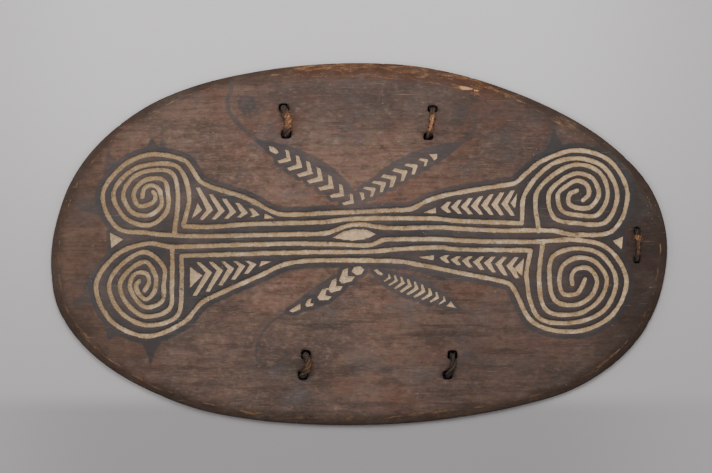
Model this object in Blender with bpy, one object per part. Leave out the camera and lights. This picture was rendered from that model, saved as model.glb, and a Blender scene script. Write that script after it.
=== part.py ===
"""Carved wooden shield: a long oval board with a spiral pattern cut into its face and five cord ties.

Metres, +Z up. The board lies on the rim of its hollow back with the carved face up.
X runs along the board and Y across it, and the origin is under its middle.
"""
import math

import bmesh
import bpy

# Board
LENGTH = 1.000
WIDTH = 0.588
THICKNESS = 0.012
CROWN = 0.030
CROWN_POWER = 3.0
REST_LAND = 0.008
FACET_WIDTH = 0.013
FACET_DROP = 0.005
RIM_POINTS = 72
GRID_PITCH = 0.075

# Carving
GROOVE_WIDTH = 0.0090
GROOVE_FLOOR_WIDTH = 0.0068
GROOVE_DEPTH = 0.0026
NOTCH_DEPTH = 0.0024
CUTTER_RISE = 0.0020
CUT_STEP = 0.00004
FIELD_MARGIN = 0.0115
TURN_PER_POINT = math.radians(17)
FLAKE_LENGTH = 0.042
FLAKE_WIDTH = 0.009
FLAKE_DEPTH = 0.0016

# Ties
TIE_GAP = 0.0004
BACK_GAP = 0.0009
HOLE_CLEARANCE = 0.0022
HOLE_SIDES = 12

# The rim, as shares of an ellipse of the board's length and width, one for each 10 degrees from +X
RIM_SHARES = (
    0.999, 0.996, 0.994, 0.986, 0.980, 0.976, 0.979, 0.990, 1.000, 1.000, 1.003, 1.010,
    1.022, 1.027, 1.018, 1.007, 0.996, 0.989, 0.996, 1.013, 1.039, 1.054, 1.061, 1.058,
    1.052, 1.031, 1.011, 1.001, 1.003, 1.013, 1.034, 1.060, 1.060, 1.046, 1.024, 1.006)

# The pattern is laid out on a board 1000 long and 588 wide, measured from its middle
DRAWN_LENGTH = 1000
DRAWN_WIDTH = 588

# Each spiral: its middle, and each groove's distance from it at every eighth of a turn. The turns
# start on the side towards the middle of the board and first go away from its long axis.
SPIRALS = {
    "upper_left": {
        "middle": (-339, 80),
        "ring": (79, 65, 64, 76, 75, 62),
        "short_foot": (-299, 15),
        "short_arm": (46, 50, 39, 39, 43, 40, 33, 26, 18, 17, 15, 13),
        "short_end": (-351, 76),
        "long_arm": (64, 64, 49, 50, 59, 54, 49, 39, 30, 33, 26, 24, 26, 25, 15, 12, 9),
        "long_end": (-334, 85)},
    "upper_right": {
        "middle": (354, 81),
        "ring": (78, 71, 75, 81, 82, 66),
        "short_foot": (290, 21),
        "short_arm": (67, 49, 48, 50, 49, 46, 34, 37, 32, 22, 22, 21, 18),
        "short_end": (362, 71),
        "long_arm": (86, 65, 58, 61, 64, 64, 47, 54, 47, 34, 34, 35, 34, 29, 22, 21, 13),
        "long_end": (353, 87)},
    "lower_left": {
        "middle": (-345, -66),
        "ring": (86, 83, 81, 81, 68, 67),
        "short_foot": (-302, -4),
        "short_arm": (42, 54, 51, 43, 42, 36, 37, 22, 16, 18, 23, 18, 16),
        "short_end": (-356, -59),
        "long_arm": (58, 71, 65, 60, 60, 51, 53, 41, 29, 37, 36, 27, 26, 25, 19, 7),
        "long_end": (-347, -75)},
    "lower_right": {
        "middle": (352, -58),
        "ring": (98, 83, 81, 81, 72, 65),
        "short_foot": (297, 3),
        "short_arm": (61, 69, 55, 49, 49, 42, 36, 32, 28, 31, 22, 13),
        "short_end": (366, -56),
        "long_arm": (81, 86, 68, 66, 64, 57, 51, 54, 44, 48, 40, 35, 33, 27, 18, 11),
        "long_end": (345, -65)}}

# Long lines of the pattern, each from left to right
UPPER_EDGE = ((-267, 116), (-258, 103), (-240, 93), (-184, 75), (-134, 50), (-109, 48), (-59, 50),
              (52, 55), (84, 57), (110, 70), (139, 79), (223, 94), (252, 99), (270, 114))
LOWER_EDGE = ((-255, -95), (-233, -83), (-159, -50), (-122, -33), (-85, -27), (-35, -26),
              (66, -28), (102, -34), (182, -50), (226, -59), (245, -66))
UPPER_OUTER = ((-284, 29), (-242, 28), (-184, 32), (-59, 36), (-10, 41), (65, 42), (131, 41),
               (153, 38), (263, 34))
LOWER_OUTER = ((-287, -19), (-258, -18), (-85, -13), (15, -12), (65, -8), (131, -5), (153, -8),
               (277, -10))
UPPER_INNER = ((-313, 15), (-258, 13), (-109, 16), (-59, 17), (-42, 21), (-22, 29), (3, 32),
               (23, 29), (52, 26), (131, 27), (182, 24), (237, 22), (309, 22))
LOWER_INNER = ((-303, -4), (-258, -3), (-109, 1), (-35, 0), (3, -2), (23, 0), (40, 7), (65, 8),
               (131, 8), (182, 5), (287, 4))

# Rows of V cuts between an edge line and an outer line: the side that they lie on, the first and the
# last tip, how many there are, how far down from the upper line the tips lie, how much the strokes
# lean back for their height, and the small wedges at both ends of the row
V_ROWS = (
    {"side": -1, "over": UPPER_EDGE, "under": UPPER_OUTER, "first": -236, "last": -161, "count": 5,
     "tip": 0.62, "lean": 0.55,
     "wedges": (((-261, 66), (-254, 55), (-270, 42)), ((-152, 49), (-137, 42), (-153, 41)))},
    {"side": 1, "over": UPPER_EDGE, "under": UPPER_OUTER, "first": 230, "last": 132, "count": 7,
     "tip": 0.50, "lean": 0.40,
     "wedges": (((245, 66), (255, 81), (252, 58)), ((124, 59), (105, 51), (124, 50)))},
    {"side": -1, "over": LOWER_OUTER, "under": LOWER_EDGE, "first": -238, "last": -166, "count": 5,
     "tip": 0.38, "lean": 0.60,
     "wedges": (((-273, -37), (-254, -51), (-273, -70)), ((-158, -28), (-142, -28), (-161, -36)))},
    {"side": 1, "over": LOWER_OUTER, "under": LOWER_EDGE, "first": 238, "last": 130, "count": 7,
     "tip": 0.45, "lean": 0.40,
     "wedges": (((266, -24), (251, -39), (263, -51)), ((121, -18), (97, -21), (120, -26)))})
V_REACH = 0.0080
V_STROKE = 0.0100
V_END_STROKE = 0.0060
END_SLOPE = 0.3

# Slanting rows of V cuts: the line of their tips from the middle of the board outwards, how many
# there are, whether they point outwards or inwards, the reach of each arm to the left and right of
# the way they point, how far each arm leans back for its reach, the stroke at the tip and at the
# ends of the arms, half the width of a blunt tip, the sizes of the first, middle and last one, and
# the small blobs and wedges that end the row
SLANT_ROWS = (
    {"line": ((-8, 66), (-59, 103), (-110, 135)), "count": 7, "points": -1,
     "arms": (0.0136, 0.0160), "leans": (1.08, 1.00), "stroke": 0.0098, "end_stroke": 0.0056,
     "blunt": 0.0, "sizes": (0.75, 1.0, 0.85),
     "ends": (((-146, 158), (-139, 157), (-133, 153), (-130, 148), (-135, 146), (-144, 151)),)},
    {"line": ((26, 90), (64, 111), (111, 136)), "count": 6, "points": 1,
     "arms": (0.0130, 0.0114), "leans": (1.25, 1.05), "stroke": 0.0090, "end_stroke": 0.0050,
     "blunt": 0.0015, "sizes": (0.80, 1.0, 0.62),
     "ends": (((1, 84), (7, 83), (9, 74), (5, 71)),
              ((113, 145), (126, 146), (126, 139), (121, 135), (118, 140)))},
    {"line": ((-30, -61), (-57, -83), (-86, -99)), "count": 4, "points": 1,
     "arms": (0.0104, 0.0120), "leans": (1.45, 1.30), "stroke": 0.0140, "end_stroke": 0.0078,
     "blunt": 0.0035, "sizes": (1.0, 0.90, 0.55),
     "ends": (((-12, -45), (-8, -37), (3, -36), (8, -41), (4, -48), (-4, -50)),
              ((-113, -108), (-95, -96), (-95, -105), (-107, -110)))},
    {"line": ((51, -55), (97, -73), (140, -92)), "count": 9, "points": 1,
     "arms": (0.0094, 0.0156), "leans": (0.90, 0.78), "stroke": 0.0066, "end_stroke": 0.0030,
     "blunt": 0.0, "sizes": (0.55, 1.0, 0.58),
     "ends": (((24, -42), (29, -41), (39, -48), (37, -50), (30, -48)),
              ((141, -100), (148, -93), (157, -103)))})

LENS = ((-42, 11), (-25, 20), (-8, 24), (12, 23), (27, 16), (10, 8), (-10, 6), (-28, 8))
LEFT_WEDGE = ((-403, 18), (-382, 8), (-401, -6))
RIGHT_WEDGE = ((411, 5), (427, 12), (425, -8))
FLAKE_MIDDLE = (179, 251)
FLAKE_TURN = math.radians(-12)

# Ties: the two holes, the cord's thickness, and how far its front loop bows to the right
TIES = {
    "tie_upper_left": {"holes": ((-122, 220), (-118, 178)), "cord": 0.0110, "bow": 0.006},
    "tie_upper_right": {"holes": ((119, 219), (112, 174)), "cord": 0.0080, "bow": 0.002},
    "tie_lower_left": {"holes": ((-86, -179), (-91, -212)), "cord": 0.0100, "bow": 0.007},
    "tie_lower_right": {"holes": ((151, -179), (143, -212)), "cord": 0.0085, "bow": 0.005},
    "tie_end": {"holes": ((450, 22), (450, -26)), "cord": 0.0050, "bow": 0.003}}

WOOD_COLOUR = (0.13, 0.085, 0.065, 1.0)
FIBRE_COLOUR = (0.20, 0.12, 0.07, 1.0)


def clear_scene():
    for obj in list(bpy.data.objects):
        bpy.data.objects.remove(obj, do_unlink=True)


def new_collection(name):
    collection = bpy.data.collections.new(name)
    bpy.context.scene.collection.children.link(collection)
    return collection


def new_material(name, colour, roughness):
    material = bpy.data.materials.new(name)
    material.use_nodes = True
    shader = material.node_tree.nodes["Principled BSDF"]
    shader.inputs["Base Color"].default_value = colour
    shader.inputs["Roughness"].default_value = roughness
    shader.inputs["Metallic"].default_value = 0.0
    return material


def place(point):
    """A point of the drawn pattern, on a board of this length and width."""
    return (point[0] * LENGTH / DRAWN_LENGTH, point[1] * WIDTH / DRAWN_WIDTH)


def rim_share(angle):
    """The rim's share of the plain ellipse in one direction, from a smooth curve through the list."""
    count = len(RIM_SHARES)
    position = angle / math.tau % 1.0 * count
    index = int(position)
    part = position - index
    before, start, end, after = (RIM_SHARES[(index + k) % count] for k in (-1, 0, 1, 2))
    start_slope = (end - before) / 2
    end_slope = (after - start) / 2
    return ((2 * part**3 - 3 * part**2 + 1) * start + (part**3 - 2 * part**2 + part) * start_slope
            + (3 * part**2 - 2 * part**3) * end + (part**3 - part**2) * end_slope)


def rim_extent():
    """The lowest and highest corner of the rim on a unit ellipse."""
    angles = [math.tau * k / RIM_POINTS for k in range(RIM_POINTS)]
    xs = [rim_share(angle) * math.cos(angle) for angle in angles]
    ys = [rim_share(angle) * math.sin(angle) for angle in angles]
    return min(xs), max(xs), min(ys), max(ys)


LOW_X, HIGH_X, LOW_Y, HIGH_Y = rim_extent()


def on_rim(angle, share=1.0):
    """A point at a share of the way from the middle to the rim."""
    reach = share * rim_share(angle)
    x = (reach * math.cos(angle) - (LOW_X + HIGH_X) / 2) / (HIGH_X - LOW_X) * LENGTH
    y = (reach * math.sin(angle) - (LOW_Y + HIGH_Y) / 2) / (HIGH_Y - LOW_Y) * WIDTH
    return x, y


def lift(x, y):
    """How far the dome raises the board at a point: nothing over the flat band round the rim."""
    u = x / LENGTH * (HIGH_X - LOW_X) + (LOW_X + HIGH_X) / 2
    v = y / WIDTH * (HIGH_Y - LOW_Y) + (LOW_Y + HIGH_Y) / 2
    angle = math.atan2(v, u)
    rim_x, rim_y = on_rim(angle)
    rim_reach = math.hypot(rim_x, rim_y) - REST_LAND
    outward = min(1.0, math.hypot(x, y) / rim_reach)
    return CROWN * (1.0 - outward**CROWN_POWER)


def smooth(points, closed=False):
    """Points along a smooth curve through the given ones, closer together where it turns more."""
    count = len(points)
    spans = count if closed else count - 1

    def point(index):
        return points[index % count] if closed else points[min(max(index, 0), count - 1)]

    def gap(index):
        return math.dist(point(index), point(index + 1))

    def slope(index):
        length = gap(index - 1) + gap(index)
        return tuple((b - a) / length for a, b in zip(point(index - 1), point(index + 1)))

    route = []
    for index in range(spans):
        start, end, length = point(index), point(index + 1), gap(index)
        start_slope, end_slope = slope(index), slope(index + 1)
        turn = abs(math.remainder(math.atan2(end_slope[1], end_slope[0])
                                  - math.atan2(start_slope[1], start_slope[0]), math.tau))
        steps = max(1, round(turn / TURN_PER_POINT))
        for step in range(steps):
            part = step / steps
            route.append(tuple(
                (2 * part**3 - 3 * part**2 + 1) * a + (part**3 - 2 * part**2 + part) * length * p
                + (3 * part**2 - 2 * part**3) * b + (part**3 - part**2) * length * q
                for a, b, p, q in zip(start, end, start_slope, end_slope)))
    if not closed:
        route.append(points[-1])
    return route


def spiral_points(name, distances, first_turn=0):
    """Points round a spiral's middle, one for each eighth of a turn."""
    middle = SPIRALS[name]["middle"]
    side = 1 if name.endswith("right") else -1
    away = 1 if name.startswith("upper") else -1
    points = []
    for index, distance in enumerate(distances, first_turn):
        angle = index * math.tau / 8
        points.append((middle[0] - side * distance * math.cos(angle),
                       middle[1] + away * distance * math.sin(angle)))
    return points


def loop_route(half, edge, inner):
    """One closed groove: along an inner line, round both rings, and back along the edge line."""
    left = spiral_points(half + "_left", SPIRALS[half + "_left"]["ring"], 1)
    right = spiral_points(half + "_right", SPIRALS[half + "_right"]["ring"], 1)
    points = list(inner) + right[::-1] + list(edge)[::-1] + left
    return smooth([place(p) for p in points], closed=True)


def short_arm_route(name):
    spiral = SPIRALS[name]
    points = [spiral["short_foot"]] + spiral_points(name, spiral["short_arm"]) + [spiral["short_end"]]
    return smooth([place(p) for p in points])


def long_arm_route(name, foot):
    spiral = SPIRALS[name]
    points = [foot] + spiral_points(name, spiral["long_arm"]) + [spiral["long_end"]]
    return smooth([place(p) for p in points])


def lengthened(route, length):
    """The route with both ends drawn out, so that it squares the corners that it meets."""
    ends = []
    for end, neighbour in ((route[0], route[1]), (route[-1], route[-2])):
        reach = length / math.dist(end, neighbour)
        ends.append(tuple(a + (a - b) * reach for a, b in zip(end, neighbour)))
    return [ends[0]] + route + [ends[1]]


def height_on(line, x):
    """The height of a drawn line at x, in metres."""
    points = [place(p) for p in line]
    for start, end in zip(points, points[1:]):
        if x <= end[0]:
            break
    share = (x - start[0]) / (end[0] - start[0])
    return start[1] + share * (end[1] - start[1])


def row_heights(row, x):
    """The upper and lower end of a cut at x, clear of the lines above and below it."""
    return height_on(row["over"], x) - FIELD_MARGIN, height_on(row["under"], x) + FIELD_MARGIN


def row_vee(row, tip_x):
    """One V of an upright row, its tip towards the middle of the board."""
    side = row["side"]
    tip_top, tip_bottom = row_heights(row, tip_x)
    tip_y = tip_top - (tip_top - tip_bottom) * row["tip"]
    top_x = tip_x + side * (V_REACH + row["lean"] * (tip_top - tip_y))
    bottom_x = tip_x + side * (V_REACH + row["lean"] * (tip_y - tip_bottom))
    top = row_heights(row, top_x)[0]
    bottom = row_heights(row, bottom_x)[1]
    return [(top_x, top), (tip_x, tip_y), (bottom_x, bottom),
            (bottom_x + side * V_END_STROKE, bottom), (tip_x + side * V_STROKE, tip_y),
            (top_x + side * V_END_STROKE, top)]


def upright_cuts():
    cuts = []
    for row in V_ROWS:
        for index in range(row["count"]):
            share = index / (row["count"] - 1)
            tip = row["first"] + share * (row["last"] - row["first"])
            cuts.append(row_vee(row, tip * LENGTH / DRAWN_LENGTH))
        cuts.extend([place(p) for p in wedge] for wedge in row["wedges"])
    return cuts


def along(points, share):
    """A point and a direction at a share of the length of a line."""
    lengths = [math.dist(a, b) for a, b in zip(points, points[1:])]
    left = share * sum(lengths)
    for start, end, length in zip(points, points[1:], lengths):
        if left <= length or end == points[-1]:
            break
        left -= length
    direction = tuple((b - a) / length for a, b in zip(start, end))
    return tuple(a + d * left for a, d in zip(start, direction)), direction


def slant_vee(row, spot, direction, size):
    """One V of a slanting row, its tip at the spot."""
    ahead = tuple(row["points"] * d for d in direction)
    across = (-ahead[1], ahead[0])
    left, right = (size * arm for arm in row["arms"])
    left_back, right_back = -left * row["leans"][0], -right * row["leans"][1]
    stroke, end, blunt = (size * row[name] for name in ("stroke", "end_stroke", "blunt"))
    tip = [(0.0, blunt), (0.0, -blunt)] if blunt else [(0.0, 0.0)]
    outline = tip + [(right_back, -right), (right_back - end, end * END_SLOPE - right), (-stroke, 0.0),
                     (left_back - end, left - end * END_SLOPE), (left_back, left)]
    return [tuple(s + a * m + b * n for s, m, n in zip(spot, ahead, across)) for a, b in outline]


def slant_cuts():
    """V cuts along the slanting rows, and the blobs and wedges that end each row."""
    cuts = []
    for row in SLANT_ROWS:
        line = smooth([place(p) for p in row["line"]])
        first, middle, last = row["sizes"]
        for index in range(row["count"]):
            share = index / (row["count"] - 1)
            size = middle - (middle - (first if share < 0.5 else last)) * (2 * share - 1)**2
            cuts.append(slant_vee(row, *along(line, share), size))
        cuts.extend([place(p) for p in end] for end in row["ends"])
    return cuts


def add_cutter(name, mesh, collection):
    cutter = bpy.data.objects.new(name, mesh)
    cutter.hide_render = True
    cutter.display_type = "WIRE"
    collection.objects.link(cutter)
    return cutter


def mesh_from_curve(curve, name, collection):
    """The closed mesh of a curve, its loose caps welded on."""
    holder = bpy.data.objects.new(name, curve)
    collection.objects.link(holder)
    bpy.context.view_layer.update()
    graph = bpy.context.evaluated_depsgraph_get()
    mesh = bpy.data.meshes.new_from_object(holder.evaluated_get(graph))
    bpy.data.objects.remove(holder, do_unlink=True)
    shape = bmesh.new()
    shape.from_mesh(mesh)
    bmesh.ops.remove_doubles(shape, verts=shape.verts, dist=0.00002)
    bmesh.ops.recalc_face_normals(shape, faces=shape.faces)
    shape.to_mesh(mesh)
    shape.free()
    return mesh


def add_spline(curve, points, closed):
    spline = curve.splines.new("POLY")
    spline.points.add(len(points) - 1)
    for slot, point in zip(spline.points, points):
        z = point[2] if len(point) > 2 else 0.0
        slot.co = (point[0], point[1], z, 1.0)
    spline.use_cyclic_u = closed


def groove_profile(collection):
    """The section of a groove cutter: a trapezoid, narrow at the floor."""
    flare = (GROOVE_WIDTH - GROOVE_FLOOR_WIDTH) / 2 * CUTTER_RISE / GROOVE_DEPTH
    top = GROOVE_WIDTH / 2 + flare
    floor = GROOVE_FLOOR_WIDTH / 2
    curve = bpy.data.curves.new("groove_profile", "CURVE")
    curve.dimensions = "2D"
    add_spline(curve, [(-floor, -GROOVE_DEPTH), (floor, -GROOVE_DEPTH), (top, CUTTER_RISE),
                       (-top, CUTTER_RISE)], closed=True)
    profile = bpy.data.objects.new("groove_profile", curve)
    profile.hide_render = True
    profile.display_type = "WIRE"
    collection.objects.link(profile)
    return profile


def groove_cutter(name, route, profile, depth_step, closed, collection):
    curve = bpy.data.curves.new(name, "CURVE")
    curve.dimensions = "3D"
    curve.twist_mode = "Z_UP"
    curve.bevel_mode = "OBJECT"
    curve.bevel_object = profile
    curve.use_fill_caps = True
    z = THICKNESS - depth_step
    add_spline(curve, [(x, y, z) for x, y in route], closed)
    return add_cutter(name, mesh_from_curve(curve, name + "_curve", collection), collection)


def notch_cutter(name, outlines, collection):
    """Straight-sided cutters for all the small cuts, each from a flat curve of its own."""
    shape = bmesh.new()
    for outline in outlines:
        curve = bpy.data.curves.new(name, "CURVE")
        curve.dimensions = "2D"
        curve.fill_mode = "BOTH"
        curve.extrude = (NOTCH_DEPTH + CUTTER_RISE) / 2
        add_spline(curve, outline, closed=True)
        block = mesh_from_curve(curve, name + "_curve", collection)
        shape.from_mesh(block)
        bpy.data.meshes.remove(block)
    mesh = bpy.data.meshes.new(name)
    shape.to_mesh(mesh)
    shape.free()
    cutter = add_cutter(name, mesh, collection)
    cutter.location.z = THICKNESS + (CUTTER_RISE - NOTCH_DEPTH) / 2
    return cutter


def groove_cutters(collection):
    profile = groove_profile(collection)
    routes = [("upper_loop", loop_route("upper", UPPER_EDGE, UPPER_INNER), True),
              ("lower_loop", loop_route("lower", LOWER_EDGE, LOWER_INNER), True)]
    for half, line in (("upper", UPPER_OUTER), ("lower", LOWER_OUTER)):
        straight = smooth([place(p) for p in line])
        routes.append((half + "_outer_line", lengthened(straight, GROOVE_WIDTH / 2), False))
        for hand, foot in (("left", line[0]), ("right", line[-1])):
            name = half + "_" + hand
            routes.append((name + "_long_arm", long_arm_route(name, foot), False))
            routes.append((name + "_short_arm", short_arm_route(name), False))
    return [groove_cutter(name, route, profile, index * CUT_STEP, closed, collection)
            for index, (name, route, closed) in enumerate(routes)]


def small_cutter(collection):
    shapes = [[place(p) for p in shape] for shape in (LENS, LEFT_WEDGE, RIGHT_WEDGE)]
    return notch_cutter("small_cuts", shapes + upright_cuts() + slant_cuts(), collection)


def flake_cutter(collection):
    """A long shallow flake broken out beside the rim."""
    shape = bmesh.new()
    bmesh.ops.create_uvsphere(shape, u_segments=12, v_segments=6, radius=0.5)
    bmesh.ops.scale(shape, vec=(FLAKE_LENGTH, FLAKE_WIDTH, FLAKE_DEPTH * 2), verts=shape.verts)
    mesh = bpy.data.meshes.new("flake_cut")
    shape.to_mesh(mesh)
    shape.free()
    cutter = add_cutter("flake_cut", mesh, collection)
    cutter.location = (*place(FLAKE_MIDDLE), THICKNESS + FLAKE_DEPTH * 0.1)
    cutter.rotation_euler.z = FLAKE_TURN
    return cutter


def hole_radius(tie):
    return tie["cord"] / 2 + HOLE_CLEARANCE


def hole_cutters(collection):
    """Round holes, two for each tie."""
    shape = bmesh.new()
    for tie in TIES.values():
        for hole in tie["holes"]:
            made = bmesh.ops.create_cone(shape, cap_ends=True, segments=HOLE_SIDES,
                                         radius1=hole_radius(tie), radius2=hole_radius(tie),
                                         depth=THICKNESS * 2)
            x, y = place(hole)
            bmesh.ops.translate(shape, vec=(x, y, THICKNESS / 2), verts=made["verts"])
    mesh = bpy.data.meshes.new("hole_cut")
    shape.to_mesh(mesh)
    shape.free()
    return add_cutter("hole_cut", mesh, collection)


def blank_mesh():
    """The uncarved board, still flat: a disc shaped to the rim, thickened and given its facet."""
    shape = bmesh.new()
    bmesh.ops.create_circle(shape, cap_ends=True, segments=RIM_POINTS, radius=1.0)
    for vertex in shape.verts:
        vertex.co.xy = on_rim(math.atan2(vertex.co.y, vertex.co.x))
    bmesh.ops.recalc_face_normals(shape, faces=shape.faces)
    made = bmesh.ops.extrude_face_region(shape, geom=shape.faces[:])
    raised = [item for item in made["geom"] if isinstance(item, bmesh.types.BMVert)]
    bmesh.ops.translate(shape, vec=(0, 0, THICKNESS), verts=raised)
    bmesh.ops.recalc_face_normals(shape, faces=shape.faces)
    face_up = [f for f in shape.faces if f.normal.z > 0.5]
    face_down = [f for f in shape.faces if f.normal.z < -0.5]
    bmesh.ops.inset_region(shape, faces=face_up, thickness=FACET_WIDTH, use_even_offset=True)
    bmesh.ops.inset_region(shape, faces=face_down, thickness=REST_LAND, use_even_offset=True)
    carved = {vertex for face in face_up for vertex in face.verts}
    for vertex in shape.verts:
        if vertex.co.z > THICKNESS / 2 and vertex not in carved:
            vertex.co.z -= FACET_DROP
    add_grid(shape)
    mesh = bpy.data.meshes.new("board")
    shape.to_mesh(mesh)
    shape.free()
    return mesh


def add_grid(shape):
    """Edges across both faces, so that the board can be bent to its dome."""
    for axis, size in ((0, LENGTH), (1, WIDTH)):
        lines = round(size / GRID_PITCH)
        for index in range(1, lines):
            position = [0.0, 0.0, 0.0]
            normal = [0.0, 0.0, 0.0]
            position[axis] = (index / lines - 0.5) * size
            normal[axis] = 1.0
            bmesh.ops.bisect_plane(shape, geom=shape.verts[:] + shape.edges[:] + shape.faces[:],
                                   dist=0.000001, plane_co=position, plane_no=normal)


def subtract(obj, cutters):
    for cutter in cutters:
        cut = obj.modifiers.new(cutter.name, "BOOLEAN")
        cut.operation = "DIFFERENCE"
        cut.solver = "EXACT"
        cut.use_self = True
        cut.object = cutter


def applied(obj):
    """The object with its modifiers worked into its mesh."""
    bpy.context.view_layer.update()
    graph = bpy.context.evaluated_depsgraph_get()
    mesh = bpy.data.meshes.new_from_object(obj.evaluated_get(graph))
    obj.modifiers.clear()
    obj.data = mesh
    return obj


def bend(obj):
    """Split the flat faces into triangles and raise them to the dome."""
    shape = bmesh.new()
    shape.from_mesh(obj.data)
    bmesh.ops.remove_doubles(shape, verts=shape.verts, dist=0.00002)
    bmesh.ops.triangulate(shape, faces=shape.faces)
    for vertex in shape.verts:
        vertex.co.z += lift(vertex.co.x, vertex.co.y)
    shape.to_mesh(obj.data)
    shape.free()


def make_board(parts, cutters, material):
    board = bpy.data.objects.new("board", blank_mesh())
    parts.objects.link(board)
    subtract(board, groove_cutters(cutters) + [small_cutter(cutters), flake_cutter(cutters),
                                               hole_cutters(cutters)])
    applied(board)
    bend(board)
    board.data.materials.clear()
    board.data.materials.append(material)
    return board


def tie_route(tie):
    """The middle of a tie's cord: over the face, down a hole, under the back and up the other."""
    start, end = (place(hole) for hole in tie["holes"])
    length = math.dist(start, end)
    ahead = tuple((b - a) / length for a, b in zip(start, end))
    right = (-ahead[1], ahead[0])
    cord, hole = tie["cord"] / 2, hole_radius(tie)

    def spot(distance, bow):
        return (start[0] + ahead[0] * distance + right[0] * bow,
                start[1] + ahead[1] * distance + right[1] * bow)

    def arc(rise, back):
        """One pass from hole to hole: round an edge, straight, and round the other edge."""
        steps = [(hole * (1 - math.cos(a)), math.sin(a)) for a in (0.0, 0.55, 1.05, math.pi / 2)]
        middle = [(length * share, 1.0 + 0.12 * (not back)) for share in (0.4, 0.5, 0.6)]
        mirrored = [(length - d, h) for d, h in reversed(steps)]
        return [(d, h * rise) for d, h in steps + middle + mirrored]

    route = []
    for distance, height in arc(cord + TIE_GAP, back=False):
        x, y = spot(distance, tie["bow"] * math.sin(math.pi * distance / length))
        route.append((x, y, lift(x, y) + THICKNESS + height))
    for distance, height in reversed(arc(cord + BACK_GAP, back=True)):
        x, y = spot(distance, 0.0)
        route.append((x, y, lift(x, y) - height))
    return route


def make_tie(name, tie, parts, material):
    """One tie, a closed ring of cord."""
    curve = bpy.data.curves.new(name, "CURVE")
    curve.dimensions = "3D"
    curve.bevel_depth = tie["cord"] / 2
    curve.bevel_resolution = 2
    add_spline(curve, tie_route(tie), closed=True)
    mesh = mesh_from_curve(curve, name + "_curve", parts)
    mesh.name = name
    mesh.shade_smooth()
    mesh.materials.clear()
    mesh.materials.append(material)
    piece = bpy.data.objects.new(name, mesh)
    parts.objects.link(piece)
    return piece


def main():
    clear_scene()
    parts = new_collection("carved_shield")
    cutters = new_collection("cutters")
    wood = new_material("stained_wood", WOOD_COLOUR, 0.6)
    fibre = new_material("plant_fibre", FIBRE_COLOUR, 0.85)
    make_board(parts, cutters, wood)
    for name, tie in TIES.items():
        make_tie(name, tie, parts, fibre)


main()
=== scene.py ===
# %% [markdown]
# # A carved wooden shield
#
# This lesson dresses the CAD model of a carved shield: a long oval board, hollow behind, whose
# face carries four spirals joined by long lines. The grooves are filled with pale lime, the wood
# between them is painted charcoal, and five short cords are tied through holes in the board.
#
# Most of the work is one dense mesh for the board, with the distance to the nearest cut kept on
# every vertex, so that the same numbers shape the carving and place the paint.

import math
import random

import bpy
import numpy as np
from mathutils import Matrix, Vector, geometry, kdtree, noise


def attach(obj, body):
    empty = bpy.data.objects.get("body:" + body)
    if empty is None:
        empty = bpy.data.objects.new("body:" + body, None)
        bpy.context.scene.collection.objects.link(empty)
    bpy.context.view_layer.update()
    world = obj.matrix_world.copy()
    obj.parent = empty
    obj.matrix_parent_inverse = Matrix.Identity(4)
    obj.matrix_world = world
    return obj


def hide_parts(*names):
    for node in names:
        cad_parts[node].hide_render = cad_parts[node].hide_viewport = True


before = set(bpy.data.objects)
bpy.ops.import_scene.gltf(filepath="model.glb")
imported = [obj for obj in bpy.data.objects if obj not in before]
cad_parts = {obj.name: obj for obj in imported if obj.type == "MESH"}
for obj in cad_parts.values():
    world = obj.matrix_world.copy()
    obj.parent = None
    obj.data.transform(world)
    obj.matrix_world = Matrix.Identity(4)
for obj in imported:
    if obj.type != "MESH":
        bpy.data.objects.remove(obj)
bpy.ops.object.select_all(action="DESELECT")
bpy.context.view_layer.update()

# %% [markdown]
# ## The numbers of the carving
#
# The pattern is the same one that the CAD source cuts, so its numbers are written here again, in
# thousandths of the board's length. A spiral is a list of distances from its middle, one for each
# eighth of a turn, which is how a carver might mark it out with a cord.

# %% Sizes
LENGTH, WIDTH, THICKNESS = 1.000, 0.588, 0.012
CROWN, CROWN_POWER, REST_LAND = 0.030, 3.0, 0.008
FACET_WIDTH, FACET_DROP, RIM_POINTS = 0.013, 0.005, 72
GROOVE_WIDTH, GROOVE_FLOOR_WIDTH, GROOVE_DEPTH, NOTCH_DEPTH = 0.0090, 0.0068, 0.0026, 0.0024
FIELD_MARGIN, HOLE_CLEARANCE, TIE_GAP, BACK_GAP = 0.0115, 0.0022, 0.0004, 0.0009
DRAWN_LENGTH, DRAWN_WIDTH = 1000, 588
print("board", LENGTH, "by", WIDTH)

# %% Rim and spirals
RIM_SHARES = np.array((
    0.999, 0.996, 0.994, 0.986, 0.980, 0.976, 0.979, 0.990, 1.000, 1.000, 1.003, 1.010,
    1.022, 1.027, 1.018, 1.007, 0.996, 0.989, 0.996, 1.013, 1.039, 1.054, 1.061, 1.058,
    1.052, 1.031, 1.011, 1.001, 1.003, 1.013, 1.034, 1.060, 1.060, 1.046, 1.024, 1.006))

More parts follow.
